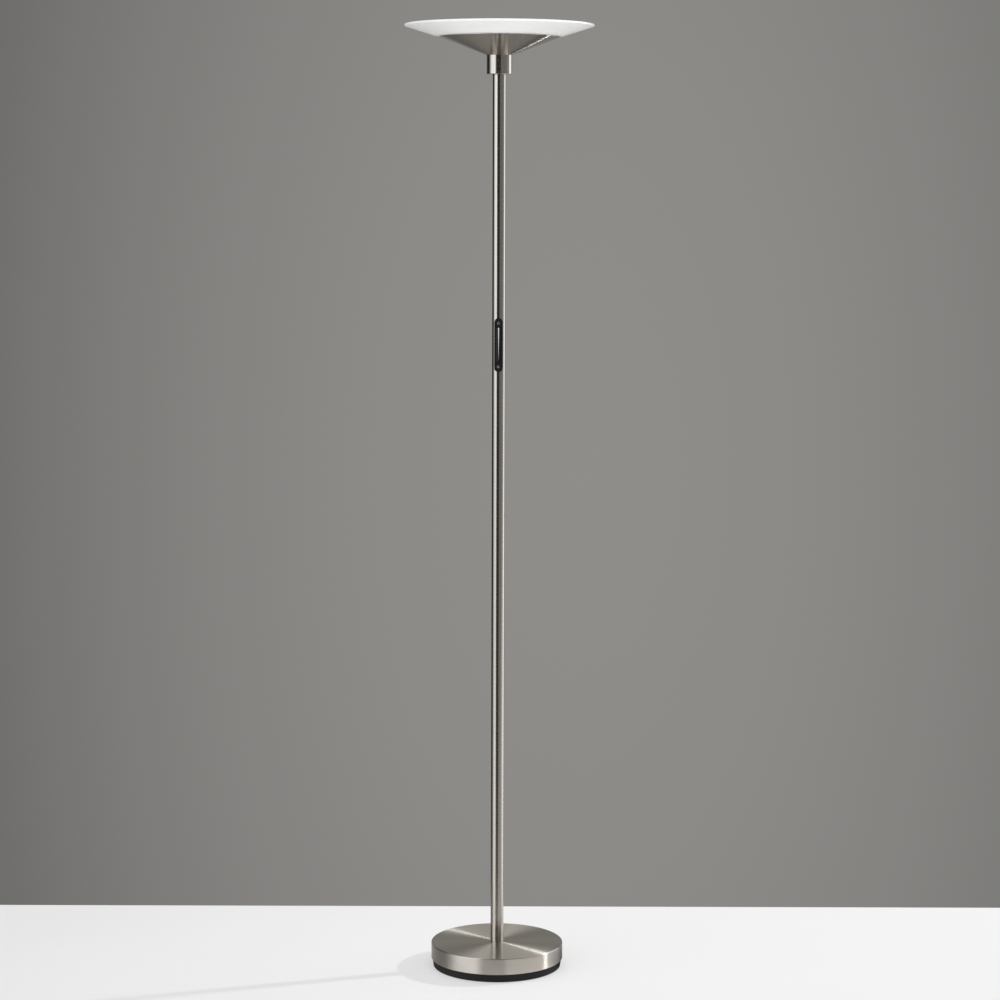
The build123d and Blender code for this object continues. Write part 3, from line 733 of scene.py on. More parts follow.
def lathe(outline: np.ndarray, segments: int, closed: bool = True) -> Surface:
    """Turn an outline about the z axis.

    A point at radius r and height h goes to (r cos a, r sin a, h) for a full turn of a. Its normal is
    square to the line between its two neighbours, which on a flat beside a fillet is the flat's own.

    Args:
        outline: radius and height of each point, anticlockwise.
        segments: steps of the turn.
        closed: False where the outline starts and ends on the axis.

    Returns:
        A closed surface with normals.
    """
    angle = np.linspace(0.0, 2 * np.pi, segments, endpoint=False)
    ring = np.stack((np.cos(angle), np.sin(angle)), axis=-1)

    def swept(profile: np.ndarray) -> np.ndarray:
        """Carry each point of a profile round the ring.

        Args:
            profile: radius and height of each point.

        Returns:
            x, y and z of each point at each step of the turn.
        """
        flat = profile[:, None, :1] * ring[None]
        tall = np.broadcast_to(profile[:, None, 1:], flat[..., :1].shape)
        return np.concatenate((flat, tall), axis=-1).reshape(-1, 3)

    chord = np.roll(outline, -1, axis=0) - np.roll(outline, 1, axis=0)
    normal = np.stack((chord[:, 1], -chord[:, 0]), axis=-1)
    if not closed:
        normal[[0, -1]] = (0.0, -1.0), (0.0, 1.0)
    normal /= np.linalg.norm(normal, axis=1, keepdims=True)
    index = np.arange(len(outline) * segments).reshape(len(outline), segments)
    on_axis = outline[:, 0] < SAME_POINT
    index[on_axis] = index[on_axis, :1]
    low, high = (index, np.roll(index, -1, axis=0)) if closed else (index[:-1], index[1:])
    around = (low, np.roll(low, -1, axis=1), np.roll(high, -1, axis=1), high)
    faces = np.stack(around, axis=-1).reshape(-1, 4)
    from_pole, to_pole = faces[:, 0] == faces[:, 1], faces[:, 2] == faces[:, 3]
    kept, places = np.unique(faces, return_inverse=True)
    faces = places.reshape(faces.shape)
    triangles = np.concatenate((faces[from_pole][:, [0, 2, 3]], faces[to_pole][:, [0, 1, 2]]))
    return Surface(swept(outline)[kept], faces[~from_pole & ~to_pole], triangles, swept(normal)[kept])


def put(name: str, surface: Surface, slot: str, node: str, finish: Finish | None = None) -> None:
    """Make a piece of a surface, dress it and let it stand for a CAD node.

    Args:
        name: the piece's name.
        surface: its mesh, in millimetres.
        slot: the record's material slot, whose finish it gets unless another is given.
        node: the CAD node that it replaces.
        finish: another grade of the slot's finish.
    """
    mesh = bpy.data.meshes.new(name)
    faces = surface.quads.tolist() + surface.triangles.tolist()
    mesh.from_pydata((surface.points * MM).tolist(), [], faces)
    mesh.validate()
    mesh.shade_smooth()
    if surface.normals is None:
        mesh.set_sharp_from_angle(angle=math.radians(SHARP_ANGLE))
    else:
        mesh.normals_split_custom_set_from_vertices(surface.normals.tolist())
    mesh.materials.append((finish or FINISHES[slot]).material())
    piece = bpy.data.objects.new(name, mesh)
    bpy.context.scene.collection.objects.link(piece)
    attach(piece, LAMP)
    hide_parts(node)
    log.info("%s: %d faces, for %s", name, len(mesh.polygons), node)


@dataclass(frozen=True)
class Screw:
    """A pan-head screw with a cross recess, along +z from the underside of its head.

    crown and cross_depth are shares of the head's height, the other sizes of the cross are shares of its
    radius, and point is a share of the shank's radius.
    """

    head_radius: float
    head_height: float
    shank_radius: float
    shank_length: float
    point: float = 0.3
    neck: float = 0.05
    under_edge: float = 0.08
    edge: float = 0.3
    crown: float = 0.55
    cross_reach: float = 0.62
    cross_width: float = 0.17
    cross_depth: float = 0.62
    cross_slope: float = 0.1
    arc_steps: int = 5
    segments: int = 72
    rings: int = 22

    def surface(self) -> Surface:
        """Turn the screw and sink its recess.

        The head's top falls from its full height to its edge with the square of the distance from the
        axis. The recess is full depth where the smaller of |x| and |y| is under the cross's width and the
        larger one under its reach, and its sides slope evenly.

        Returns:
            One screw, head up.
        """
        rim = self.head_height * (1 - self.crown)
        corners = (
            (0.0, -self.shank_length, 0.0),
            (self.shank_radius, -self.shank_length, self.shank_radius * self.point),
            (self.shank_radius, 0.0, self.neck),
            (self.head_radius, 0.0, self.under_edge),
            (self.head_radius, rim, self.edge),
            (0.0, self.head_height, 0.0),
        )
        lower = rounded(corners, self.arc_steps, closed=False)[:-1]
        edge_radius, edge_height = lower[-1]
        reach = np.linspace(edge_radius, 0.0, self.rings + 1)[1:]
        top = self.head_height - (self.head_height - edge_height) * (reach / edge_radius) ** 2
        outline = np.concatenate((lower, np.stack((reach, top), axis=-1)))
        made = lathe(outline, self.segments, closed=False)
        near, far = np.sort(np.abs(made.points[:, :2]) / self.head_radius, axis=1).T
        inside = np.clip((self.cross_width - near) / self.cross_slope + 0.5, 0.0, 1.0)
        inside *= np.clip((self.cross_reach - far) / self.cross_slope + 0.5, 0.0, 1.0)
        on_top = made.points[:, 2] > rim / 2
        made.points[:, 2] -= np.where(on_top, inside * self.cross_depth * self.head_height, 0.0)
        return Surface(made.points, made.quads, made.triangles)


# Sub-assemblies


@dataclass
class WeightedBase:
    """The round base: a spun steel cover, and the screws under its black plinth."""

    radius: float = reach_of("base_cover")
    top: float = top_of("base_cover")
    bottom: float = foot_of("base_cover")
    edge: float = 1.8
    hem: float = 0.45
    segments: int = 256
    screw: Screw = Screw(head_radius=4.0, head_height=2.4, shank_radius=2.0, shank_length=30.0)
    first_screw: float = 30.0

    def cover(self) -> Surface:
        """Turn the cover, a cap with a hole for the nipple.

        Its inside lies one thickness of sheet inside its outside, and so do the arcs of its edge.

        Returns:
            The cover.
        """
        inner, under = self.radius - SHEET, self.top - SHEET
        corners = (
            (NIPPLE_HOLE, under, HOLE_EDGE),
            (inner, under, self.edge - SHEET),
            (inner, self.bottom, self.hem),
            (self.radius, self.bottom, self.hem),
            (self.radius, self.top, self.edge),
            (NIPPLE_HOLE, self.top, HOLE_EDGE),
        )
        return lathe(rounded(corners), self.segments)

    def screws(self) -> Surface:
        """Set three screws under the plinth, heads down.

        Returns:
            The screws as one surface.
        """
        heads_down = np.diag((1.0, -1.0, -1.0))
        one = self.screw.surface().placed(heads_down)
        circle = -front_of("plinth_screws") - self.screw.head_radius
        seat = foot_of("plinth_screws") + self.screw.head_height
        return three_round(one, circle, seat, self.first_screw)

    def build(self) -> None:
        """Make the base's pieces."""
        put("base_cover_skin", self.cover(), "brushed_steel", "base_cover")
        put("plinth_screw_set", self.screws(), "plated_steel", "plinth_screws")


@dataclass
class Pole:
    """Four tubes that screw together, the third with a window behind the switch."""

    radius: float = reach_of("lower_tube")
    bottom: float = foot_of("lower_tube")
    top: float = top_of("upper_tube")
    edge: float = 0.25
    arc_steps: int = 5
    segments: int = 96
    window_width: float = 13.0
    window_length: float = 70.4
    window_columns: int = 12
    end_tuck: float = 0.7
    names: tuple[tuple[str, str], ...] = (
        ("pole_tube_1", "lower_tube"),
        ("pole_tube_2", "lower_middle_tube"),
        ("pole_tube_3", "switch_tube"),
        ("pole_tube_4", "upper_tube"),
    )

    def tube(self, low: float, high: float) -> Surface:
        """Turn one plain tube.

        Args:
            low: its lower end.
            high: its upper end.

        Returns:
            A closed tube with rounded ends, so that a fine line shows at each joint.
        """
        inner = self.radius - SHEET
        corners = (
            (inner, low, self.edge),
            (self.radius, low, self.edge),
            (self.radius, high, self.edge),
            (inner, high, self.edge),
        )
        return lathe(rounded(corners, self.arc_steps), self.segments)

    def windowed(self, low: float, high: float) -> Surface:
        """Turn the tube with the window.

        Outside and inside are grids of height by angle, with columns and rows on the window's edges.
        Faces inside the window are left out, and strips close its four sides and the tube's ends.

        Args:
            low: the tube's lower end.
            high: its upper end.

        Returns:
            A closed tube with a window toward -Y.
        """
        front, inner, columns = -np.pi / 2, self.radius - SHEET, self.window_columns
        outer_half = math.asin(self.window_width / 2 / self.radius)
        inner_half = math.asin(self.window_width / 2 / inner)
        over_window = np.linspace(-outer_half, outer_half, columns + 1)
        beside = np.linspace(outer_half, 2 * np.pi - outer_half, self.segments - columns)[1:-1]
        angle = np.concatenate((over_window, beside))
        knots = np.array((-outer_half, outer_half, 2 * np.pi - outer_half))
        shifted = np.interp(angle, knots, (-inner_half, inner_half, 2 * np.pi - inner_half))
        sill, lintel = SWITCH_HEIGHT + np.array((-0.5, 0.5)) * self.window_length
        ends = np.array((0.0, 1.0, 2.0)) * self.edge
        rows = np.concatenate((low + ends, (sill, lintel), high - ends[::-1]))
        sill_row, lintel_row = len(ends), len(ends) + 1
        tuck = np.where((rows == low) | (rows == high), self.edge * self.end_tuck, 0.0)

        def sheet(radius: np.ndarray, turn: np.ndarray) -> np.ndarray:
            """Give the points of one wall.

            Args:
                radius: the wall's radius at each row.
                turn: angle of each column from the front.

            Returns:
                Points, rows by columns.
            """
            ring = np.stack((np.cos(turn + front), np.sin(turn + front)), axis=-1)
            tall = np.broadcast_to(rows[:, None, None], (len(rows), len(turn), 1))
            return np.concatenate((ring[None] * radius[:, None, None], tall), axis=-1)

        def strips(first: np.ndarray, second: np.ndarray) -> np.ndarray:
            """Quads between two lines of points."""
            return np.stack((first[:-1], first[1:], second[1:], second[:-1]), axis=-1)

        def wall_quads(ring: np.ndarray) -> np.ndarray:
            """Give the faces of one wall, without the window.

            Args:
                ring: the numbers of its points, with the first column again at the end.

            Returns:
                Quads.
            """
            quads = np.stack((ring[:-1, :-1], ring[:-1, 1:], ring[1:, 1:], ring[1:, :-1]), axis=-1)
            kept = np.ones(quads.shape[:2], bool)
            kept[sill_row, :columns] = False
            return quads[kept]

        walls = np.stack((sheet(self.radius - tuck, angle), sheet(np.full(len(rows), inner), shifted)))
        index = np.arange(walls.size // 3).reshape(walls.shape[:3])
        out, within = np.concatenate((index, index[:, :, :1]), axis=2)
        window = slice(0, columns + 1)
        jambs = slice(sill_row, lintel_row + 1)
        quads = (
            wall_quads(out),
            wall_quads(within)[:, ::-1],
            strips(within[0], out[0]),
            strips(out[-1], within[-1]),
            strips(out[sill_row, window], within[sill_row, window]),
            strips(within[lintel_row, window], out[lintel_row, window]),
            strips(within[jambs, 0], out[jambs, 0]),
            strips(out[jambs, columns], within[jambs, columns]),
        )
        return Surface(walls.reshape(-1, 3), np.concatenate(quads))

    def build(self) -> None:
        """Make the four tubes."""
        ends = np.linspace(self.bottom, self.top, len(self.names) + 1).tolist()
        for (piece, node), low, high in zip(self.names, ends[:-1], ends[1:]):
            make = self.windowed if node == "switch_tube" else self.tube
            put(piece, make(low, high), "brushed_steel", node, TUBE_STEEL)


@dataclass
class Switch:
    """The switch on the pole: its plate and rocker are CAD nodes, held by two screws."""

    screw_reach: float = 41.2
    screw: Screw = Screw(head_radius=2.6, head_height=1.3, shank_radius=1.5, shank_length=9.4)

    def screws(self) -> Surface:
        """Set the two screws in the plate, heads toward -Y.

        Returns:
            The screws as one surface.
        """
        heads_forward = np.array(((1.0, 0.0, 0.0), (0.0, 0.0, -1.0), (0.0, 1.0, 0.0)))
        one = self.screw.surface()
        heights = (SWITCH_HEIGHT - self.screw_reach, SWITCH_HEIGHT + self.screw_reach)
        return joined([one.placed(heads_forward, (0.0, PLATE_FRONT, height)) for height in heights])

    def build(self) -> None:
        """Make the switch's screws."""
        put("switch_screw_set", self.screws(), "black_screw", "switch_screws")


@dataclass
class Head:
    """The turned collar on the pole and the spun cone that carries the dish."""

    collar_radius: float = reach_of("collar")
    collar_bottom: float = foot_of("collar")
    collar_wall: float = 2.0
    collar_floor: float = 3.0
    collar_edge: float = 0.8
    collar_seam: float = 0.15
    collar_corner: float = 0.3
    cone_bottom: float = foot_of("shade_cone")
    rim_radius: float = reach_of("shade_cone")
    rim_top: float = top_of("shade_cone")
    rim_band: float = 4.9
    rim_bend: float = 0.5
    rim_edge: float = 0.4
    neck_bend: float = 0.6
    neck_inside: float = 0.3
    flange_radius: float = 92.0
    flange_edge: float = 0.3
    crease: float = 0.02
    segments: int = 192

    def collar(self) -> Surface:
        """Turn the collar, a cup with a rounded lower edge and a hole in its floor.

        Returns:
            The collar.
        """
        inner = self.collar_radius - self.collar_wall
        floor = self.collar_bottom + self.collar_floor
        corners = (
            (NIPPLE_HOLE, self.collar_bottom, HOLE_EDGE),
            (self.collar_radius, self.collar_bottom, self.collar_edge),
            (self.collar_radius, self.cone_bottom, self.collar_seam),
            (inner, self.cone_bottom, self.collar_seam),
            (inner, floor, self.collar_corner),
            (NIPPLE_HOLE, floor, HOLE_EDGE),
        )
        return lathe(rounded(corners), self.segments)

    def cone(self) -> Surface:
        """Turn the cone, with its rim band and inward flange.

        Its inside lies one thickness of sheet inside its outside, measured square to each wall.

        Returns:
            The cone.
        """
        bend = self.rim_top - self.rim_band
        rise = math.atan2(bend - self.cone_bottom, self.rim_radius - self.collar_radius)
        inner = self.rim_radius - SHEET
        climb = (inner - self.collar_radius) * math.tan(rise)
        inner_bend = self.cone_bottom + climb + SHEET / math.cos(rise)
        neck = self.collar_radius - SHEET * math.tan(rise / 2)
        floor, under = self.cone_bottom + SHEET, self.rim_top - SHEET
        corners = (
            (NIPPLE_HOLE, self.cone_bottom, HOLE_EDGE),
            (self.collar_radius, self.cone_bottom, self.neck_bend),
            (self.rim_radius, bend, self.rim_bend),
            (self.rim_radius, self.rim_top, self.rim_edge),
            (self.flange_radius, self.rim_top, self.flange_edge),
            (self.flange_radius, under, self.flange_edge),
            (inner, under, self.crease),
            (inner, inner_bend, self.crease),
            (neck, floor, self.neck_inside),
            (NIPPLE_HOLE, floor, HOLE_EDGE),
        )
        return lathe(rounded(corners), self.segments)

    def build(self) -> None:
        """Make the collar and the cone."""
        put("pole_collar", self.collar(), "brushed_steel", "collar", TUBE_STEEL)
        put("dish_cone", self.cone(), "brushed_steel", "shade_cone", CONE_STEEL)


@dataclass
class GlassDish:
    """The opal dish: a flat seat, a lip over the cone's rim and a sloped brim with a round edge."""

    radius: float = 177.5
    top: float = top_of("glass_shade")
    thickness: float = 4.0
    slope: float = 17.6
    hole: float = 104.0
    hole_edge: float = 0.8
    lip_radius: float = 115.2
    lip_wall: float = 1.6
    lip_depth: float = 5.0
    lip_outside: float = 0.7
    lip_inside: float = 0.5
    seat_corner: float = 0.4
    flange: float = 4.0
    bend: float = 6.0
    edge_steps: int = 14
    segments: int = 256

    def glass(self) -> Surface:
        """Turn the dish.

        The brim's two faces lie half a thickness either side of a line at the slope, and a half circle
        about the rim's centre joins them.

        Returns:
            The dish.
        """
        half, tilt = self.thickness / 2, math.radians(self.slope)
        rim = np.array((self.radius - half, self.top - half))
        square = half * np.array((math.sin(tilt), -math.cos(tilt)))
        low, high = rim + square, rim - square
        tip = low[1] - (low[0] - self.lip_radius) * math.tan(tilt)
        seat = tip + self.lip_depth
        inside = seat + self.flange
        bend = high[0] - (high[1] - inside) / math.tan(tilt)
        lip = self.lip_radius - self.lip_wall
        corners = (
            (lip, tip, self.lip_inside),
            (self.lip_radius, tip, self.lip_outside),
            (*low, 0.0),
            (*high, 0.0),
            (bend, inside, self.bend),
            (self.hole, inside, self.hole_edge),
            (self.hole, seat, self.hole_edge),
            (lip, seat, self.seat_corner),
        )
        body = rounded(corners)
        turn = np.linspace(tilt - np.pi / 2, tilt + np.pi / 2, self.edge_steps + 1)[1:-1]
        edge = rim + half * np.stack((np.cos(turn), np.sin(turn)), axis=-1)
        split = int(np.argmin(np.linalg.norm(body - low, axis=1))) + 1
        return lathe(np.concatenate((body[:split], edge, body[split:])), self.segments)

    def build(self) -> None:
        """Make the dish."""
        put("opal_dish", self.glass(), "opal_glass", "glass_shade")


@dataclass
class LightSource:
    """The light under the dish: its diffuser is a CAD node, held by three screws."""

    screw: Screw = Screw(head_radius=2.8, head_height=1.8, shank_radius=1.5, shank_length=7.2)
    first_screw: float = 0.0

    def screws(self) -> Surface:
        """Set three screws in the diffuser's flange, heads up.

        Returns:
            The screws as one surface.
        """
        circle = reach_of("diffuser_screws") - self.screw.head_radius
        seat = top_of("diffuser_screws") - self.screw.head_height
        return three_round(self.screw.surface(), circle, seat, self.first_screw)

    def build(self) -> None:
        """Make the diffuser's screws."""
        put("diffuser_screw_set", self.screws(), "plated_steel", "diffuser_screws")


# Studio


def scaled(colour: Colour, level: float) -> Colour:
    """A colour times a grey level."""
    return tuple(level * share for share in colour)


def compass(graph: Graph, x: Socket, y: Socket, stops: Stops, tint: Colour, white: Colour) -> Socket:
    """Give a colour that follows the compass round the lamp.

    A ramp is read at the azimuth, the angle of (x, -y), as a share of a turn that starts at the back.

    Args:
        graph: the graph to add to.
        x: how far to the right.
        y: how far to the back.
        stops: azimuth in degrees, 0 at the camera and positive to the right, and grey level.
        tint: the colour of a grey level of 1, and of all below it.
        white: the same for levels above 1.

    Returns:
        The colour toward (x, y).
    """
    turn = graph.maths("ARCTAN2", x, 0.0 - y) / (2 * math.pi) + 0.5
    places = [azimuth / FULL_TURN + 0.5 for azimuth, _ in stops]
    shades = [scaled(white if level > 1.0 else tint, level) for _, level in stops]
    ramp = {"stops": tuple(zip(places, shades))}
    return graph.add("ShaderNodeValToRGB", ramp, {"Fac": turn}, "Color")


@dataclass(frozen=True)
class SoftBox:
    """A lamp with a flat face: its place and aim in metres, its face's size and how bright that is.

    It may be kept from matt surfaces or from metal, and only_on names the one object that it lights.
    """

    name: str
    place: Place
    aim: Place
    width: float
    height: float
    radiance: float
    lights_matt: bool = True
    seen_in_metal: bool = True
    only_on: str | None = None

    def build(self) -> None:
        """Make the lamp, with the power that gives its face the radiance: pi times its area times that."""
        light = bpy.data.lights.new(self.name, "AREA")
        light.shape = "RECTANGLE"
        light.size, light.size_y = self.width, self.height
        light.energy = self.radiance * math.pi * self.width * self.height
        holder = bpy.data.objects.new(self.name, light)
        holder.location = self.place
        toward = Vector(self.aim) - Vector(self.place)
        holder.rotation_euler = toward.to_track_quat("-Z", "Y").to_euler()
        holder.visible_camera = False
        holder.visible_diffuse = self.lights_matt
        holder.visible_glossy = self.seen_in_metal
        bpy.context.scene.collection.objects.link(holder)
        if self.only_on:
            lit = bpy.data.collections.new(f"{self.name}_pieces")
            lit.objects.link(bpy.data.objects[self.only_on])
            holder.light_linking.receiver_collection = lit


@dataclass
class View:
    """The camera at the photograph's viewing angle. The eye is in metres, pitch and roll are degrees."""

    lens: float = 97.0
    sensor: float = 36.0
    eye: Place = (0.0036, -5.10, 1.499)
    pitch: float = 6.6036
    roll: float = 0.165
    clip_end: float = 100.0

    def build(self) -> None:
        """Set up the camera and make it the scene's own."""
        made = bpy.data.cameras.new("view")
        made.lens, made.sensor_width, made.sensor_fit = self.lens, self.sensor, "HORIZONTAL"
        made.clip_end = self.clip_end
        holder = bpy.data.objects.new("view", made)
        holder.location = self.eye
        level = Euler((math.radians(90.0 - self.pitch), 0.0, 0.0)).to_quaternion()
        rolled = Euler((0.0, 0.0, math.radians(self.roll))).to_quaternion()
        holder.rotation_euler = (level @ rolled).to_euler()
        bpy.context.scene.collection.objects.link(holder)
        bpy.context.scene.camera = holder


@dataclass
class Floor:
    """The pale floor, a flat sheet whose back edge stands in the view.

    It is painted darker toward the left as painted shade, with a cloudy edge. Metal sees painted light and
    shade on it instead, following the compass, by the near stops up to near_reach from the lamp and by the
    far ones beyond.
    """

    back: float = 0.425
    front: float = -1.5
    side: float = 5.0
    deep: Colour = (0.398, 0.398, 0.398)
    pale: Colour = (0.436, 0.436, 0.436)
    shade_side: float = 1.0
    shade_width: float = 0.9
    cloud_scale: float = 3.0
    cloud_detail: float = 2.0
    cloud_share: float = 0.3
    roughness: float = 0.7
    gloss: float = 0.1
    glow: float = 1.02
    near_reach: float = 0.295
    near_fade: float = 0.02
    near: Stops = (
        (-180.0, 0.8), (-125.0, 0.5), (-100.0, 0.42), (-74.0, 0.34), (-59.0, 0.52), (-49.0, 0.9),
        (-34.0, 0.92), (-21.0, 1.05), (-17.0, 0.9), (-14.0, 0.87), (8.0, 0.87), (12.0, 1.14), (62.0, 1.08),
        (72.0, 0.5), (82.0, 0.12), (110.0, 0.1), (140.0, 0.5), (180.0, 0.8),
    )
    far: Stops = (
        (-180.0, 0.8), (-140.0, 0.5), (-125.0, 0.2), (-100.0, 0.12), (-84.0, 0.3), (-68.0, 1.0),
        (-36.0, 0.95), (-21.0, 0.12), (11.0, 0.1), (22.0, 0.44), (70.0, 0.5), (84.0, 1.0), (135.0, 1.0),
        (150.0, 0.6), (180.0, 0.8),
    )

    def material(self) -> bpy.types.Material:
        """Make the floor's material.

        Returns:
            A matt material that glows in its own colour, which lightens the shadows on it.
        """
        made = bpy.data.materials.new("floor_white")
        made.use_nodes = True
        graph = Graph(made.node_tree)
        place = graph.add("ShaderNodeTexCoord", output="Object")
        x, y, _ = graph.split(place)
        # Painted shade: the floor's colour is darker toward the left, with a cloudy edge.
        cloud = (graph.noise(place, self.cloud_scale, self.cloud_detail) - 0.5) * self.cloud_share
        across = (x + self.shade_side) / self.shade_width + cloud
        plain = graph.blend(across.clipped(), self.deep, self.pale)
        # Painted light and shade that metal sees: compass sectors near the lamp and beyond it.
        away = (((x * x + y * y) ** 0.5 - self.near_reach) / self.near_fade).clipped()
        near, far = (compass(graph, x, y, stops, self.pale, self.pale) for stops in (self.near, self.far))
        shown = graph.blend(graph.ray("Is Glossy Ray"), plain, graph.blend(away, near, far))
        shader = graph.add(
            "ShaderNodeBsdfPrincipled",
            None,
            {
                "Base Color": shown,
                "Roughness": self.roughness,
                "Specular IOR Level": self.gloss,
                "Emission Color": shown,
                "Emission Strength": self.glow,
            },
        )
        graph.add("ShaderNodeOutputMaterial", None, {"Surface": shader})
        return made

    def build(self) -> None:
        """Lay the floor."""
        mesh = bpy.data.meshes.new("floor")
        across = (-self.side, self.side, self.side, -self.side)
        along = (self.front, self.front, self.back, self.back)
        mesh.from_pydata([(x, y, 0.0) for x, y in zip(across, along)], [], [(0, 1, 2, 3)])
        mesh.materials.append(self.material())
        sheet = bpy.data.objects.new("floor", mesh)
        bpy.context.scene.collection.objects.link(sheet)


@dataclass
class Surroundings:
    """The studio round the lamp, as a world. Directions are unit vectors, so heights run from -1 to 1."""

    backdrop: Colour = (0.273, 0.268, 0.257)
    brightest_side: float = 0.03
    brightest_height: float = -0.1
    side_fall: float = 8.5
    height_fall: float = 2.0
    most_fall: float = 0.45
    ambient: Colour = (0.42, 0.42, 0.42)
    stops: Stops = (
        (-180.0, 0.25), (-165.0, 0.29), (-152.0, 0.24), (-140.0, 0.04), (-112.0, 0.01), (-100.0, 0.06),
        (-86.0, 0.8), (-73.0, 1.5), (-39.0, 1.5), (-27.0, 0.03), (-20.0, 0.006), (10.0, 0.006),
        (19.0, 0.18), (62.0, 0.19), (76.0, 0.25), (97.0, 0.33), (104.0, 1.45), (134.0, 1.35),
        (140.0, 0.05), (152.0, 0.21), (168.0, 0.21), (180.0, 0.25),
    )
    box_tint: Colour = (0.97, 1.02, 1.09)
    ground_level: float = 0.24
    ground_top: float = -0.24
    ground_top_fade: float = 0.1
    ground_foot: float = -0.66
    ground_foot_fade: float = 0.06
    upper_level: float = 0.1
    upper_foot: float = 0.12
    upper_fade: float = 0.12
    upper_back: float = 0.55
    upper_back_fade: float = 0.2
    sky_level: float = 0.58
    sky_foot: float = 0.28
    sky_spread: float = 0.48
    sky_lean: float = 0.07
    sky_fade: float = 0.03
    band_height: float = -0.45
    band_lean: float = 0.3
    band_width: float = 0.18
    band_strength: float = 0.72

    def in_metal(self, graph: Graph, x: Socket, y: Socket, z: Socket) -> Socket:
        """Give the grey that metal and glass see.

        It follows the compass, and four things change it with height. Between the ground's foot and its
        top it is the ground's level. High up, other than at the back, it is at least the upper level. At
        the back, a sky widens upward from its foot and leans to the right. Last, a band below the horizon
        that rises toward the left is darker.

        Args:
            graph: the world's graph.
            x: how far to the right.
            y: how far to the back.
            z: height.

        Returns:
            The colour toward (x, y, z).
        """
        tint = scaled(self.backdrop, 1 / max(self.backdrop))
        shown = compass(graph, x, y, self.stops, tint, self.box_tint)
        under_top = (self.ground_top - z) / self.ground_top_fade
        over_foot = (z - self.ground_foot) / self.ground_foot_fade
        ground = under_top.maths("MINIMUM", over_foot).clipped()
        shown = graph.blend(ground, shown, scaled(tint, self.ground_level))
        raised = (z - self.upper_foot) / self.upper_fade
        forward = (self.upper_back - y) / self.upper_back_fade
        upper = raised.maths("MINIMUM", forward).clipped()
        shown = graph.blend(upper, shown, scaled(tint, self.upper_level), "LIGHTEN")
        rise = z - self.sky_foot
        inside = rise * self.sky_spread - (x - rise * self.sky_lean).maths("ABSOLUTE")
        sky = (inside / self.sky_fade).clipped() * y.maths("GREATER_THAN", 0.0)
        shown = graph.blend(sky, shown, scaled(tint, self.sky_level))
        apart = (z + x * self.band_lean - self.band_height) / self.band_width
        band = 1.0 - apart.maths("ABSOLUTE").maths("MINIMUM", 1.0)
        return graph.blend(band * self.band_strength, shown, BLACK)

    def behind_lamp(self, graph: Graph, x: Socket, z: Socket) -> Socket:
        """Give the plain grey that the camera sees.

        It falls with the squares of how far x and z are from its brightest place, by most_fall at most.

        Args:
            graph: the world's graph.
            x: how far to the right.
            z: height.

        Returns:
            The colour toward (x, z).
        """
        side, level = x - self.brightest_side, z - self.brightest_height
        fall = side * side * self.side_fall + level * level * self.height_fall
        return graph.blend(fall.maths("MINIMUM", self.most_fall), self.backdrop, BLACK)

    def build(self) -> None:
        """Make the world: plain to the camera, by compass and height to metal, even to matt surfaces."""
        made = bpy.data.worlds.new("studio")
        made.use_nodes = True
        bpy.context.scene.world = made
        graph = Graph(made.node_tree)
        x, y, z = graph.split(graph.add("ShaderNodeTexCoord", output="Generated"))
        mirrored = graph.ray("Is Glossy Ray").maths("MAXIMUM", graph.ray("Is Transmission Ray"))
        unseen = graph.blend(mirrored, self.ambient, self.in_metal(graph, x, y, z))
        shown = graph.blend(graph.ray("Is Camera Ray"), unseen, self.behind_lamp(graph, x, z))
        background = graph.add("ShaderNodeBackground", None, {"Color": shown, "Strength": 1.0})
        graph.add("ShaderNodeOutputWorld", None, {"Surface": background})


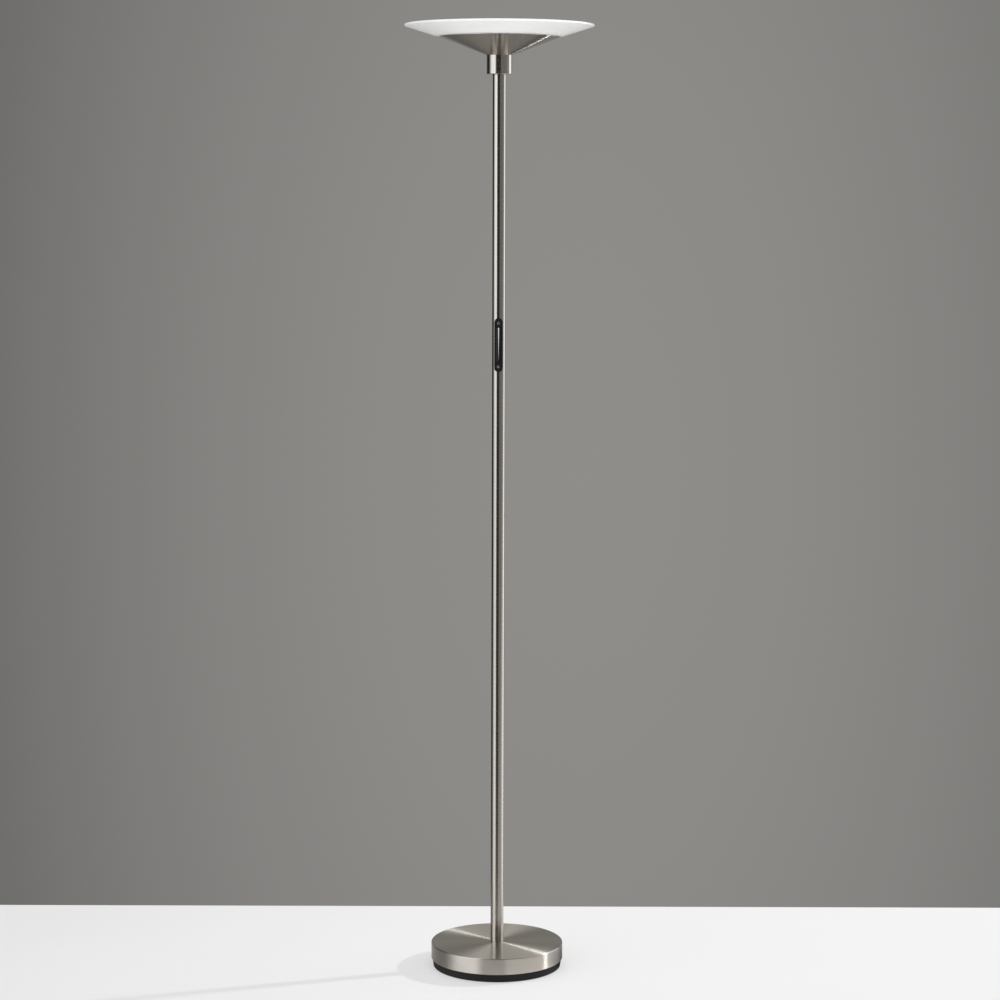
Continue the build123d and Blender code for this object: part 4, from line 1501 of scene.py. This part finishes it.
@dataclass
class Studio:
    """The camera, the floor, the surroundings and the lamps. Each glint is a streak on one steel piece."""

    view: View = field(default_factory=View)
    floor: Floor = field(default_factory=Floor)
    surroundings: Surroundings = field(default_factory=Surroundings)
    boxes: tuple[SoftBox, ...] = (
        SoftBox(
            "left_box", place=(-2.20, -1.38, 1.35), aim=(0.0, 0.0, 1.35),
            width=3.0, height=2.6, radiance=1.25, seen_in_metal=False,
        ),
        SoftBox(
            "right_box", place=(2.65, 1.41, 1.25), aim=(0.0, 0.0, 1.25),
            width=2.3, height=2.5, radiance=1.1, seen_in_metal=False,
        ),
        SoftBox(
            "top_fill", place=(0.0, -0.6, 3.6), aim=(0.0, 0.0, 0.0),
            width=3.0, height=3.0, radiance=1.1, seen_in_metal=False,
        ),
        SoftBox(
            "dish_fill", place=(2.4, -3.0, 0.8), aim=(0.0, 0.0, 1.78),
            width=1.2, height=1.2, radiance=22.0, seen_in_metal=False, only_on="opal_dish",
        ),
        SoftBox(
            "key", place=(8.9, 3.01, 6.36), aim=(0.0, 0.0, 0.0),
            width=0.33, height=0.33, radiance=1750.0, seen_in_metal=False, only_on="floor",
        ),
        SoftBox(
            "top_glint", place=(1.085, 1.885, 2.11), aim=(0.0, 0.0, 0.05),
            width=0.06, height=0.06, radiance=630.0, lights_matt=False, only_on="base_cover_skin",
        ),
        SoftBox(
            "side_glint", place=(2.8, 0.085, 0.35), aim=(0.0, 0.0, 0.05),
            width=0.36, height=0.3, radiance=27.0, lights_matt=False, only_on="base_cover_skin",
        ),
        SoftBox(
            "cone_glint", place=(0.788, 2.103, 0.485), aim=(0.0, 0.0, 1.76),
            width=0.06, height=0.06, radiance=62.0, lights_matt=False, only_on="dish_cone",
        ),
    )

    def build(self) -> None:
        """Make the studio, with the lamps last, because some light the floor or one piece alone."""
        bpy.context.scene.view_settings.view_transform = "Standard"
        for part in (self.view, self.floor, self.surroundings, *self.boxes):
            part.build()


def dress_nodes() -> None:
    """Give every CAD node the finish of its slot in the record."""
    for name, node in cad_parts.items():
        slot = node.data.materials[0].name.split(".")[0]
        for place in node.material_slots:
            place.material = FINISHES[slot].material()
        log.info("%s: %s", name, slot)


def main() -> None:
    """Dress the CAD nodes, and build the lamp's pieces and the studio."""
    logging.basicConfig(level=logging.INFO, format="%(message)s")
    dress_nodes()
    for assembly in (WeightedBase(), Pole(), Switch(), Head(), GlassDish(), LightSource(), Studio()):
        assembly.build()


if __name__ == "__main__":
    main()
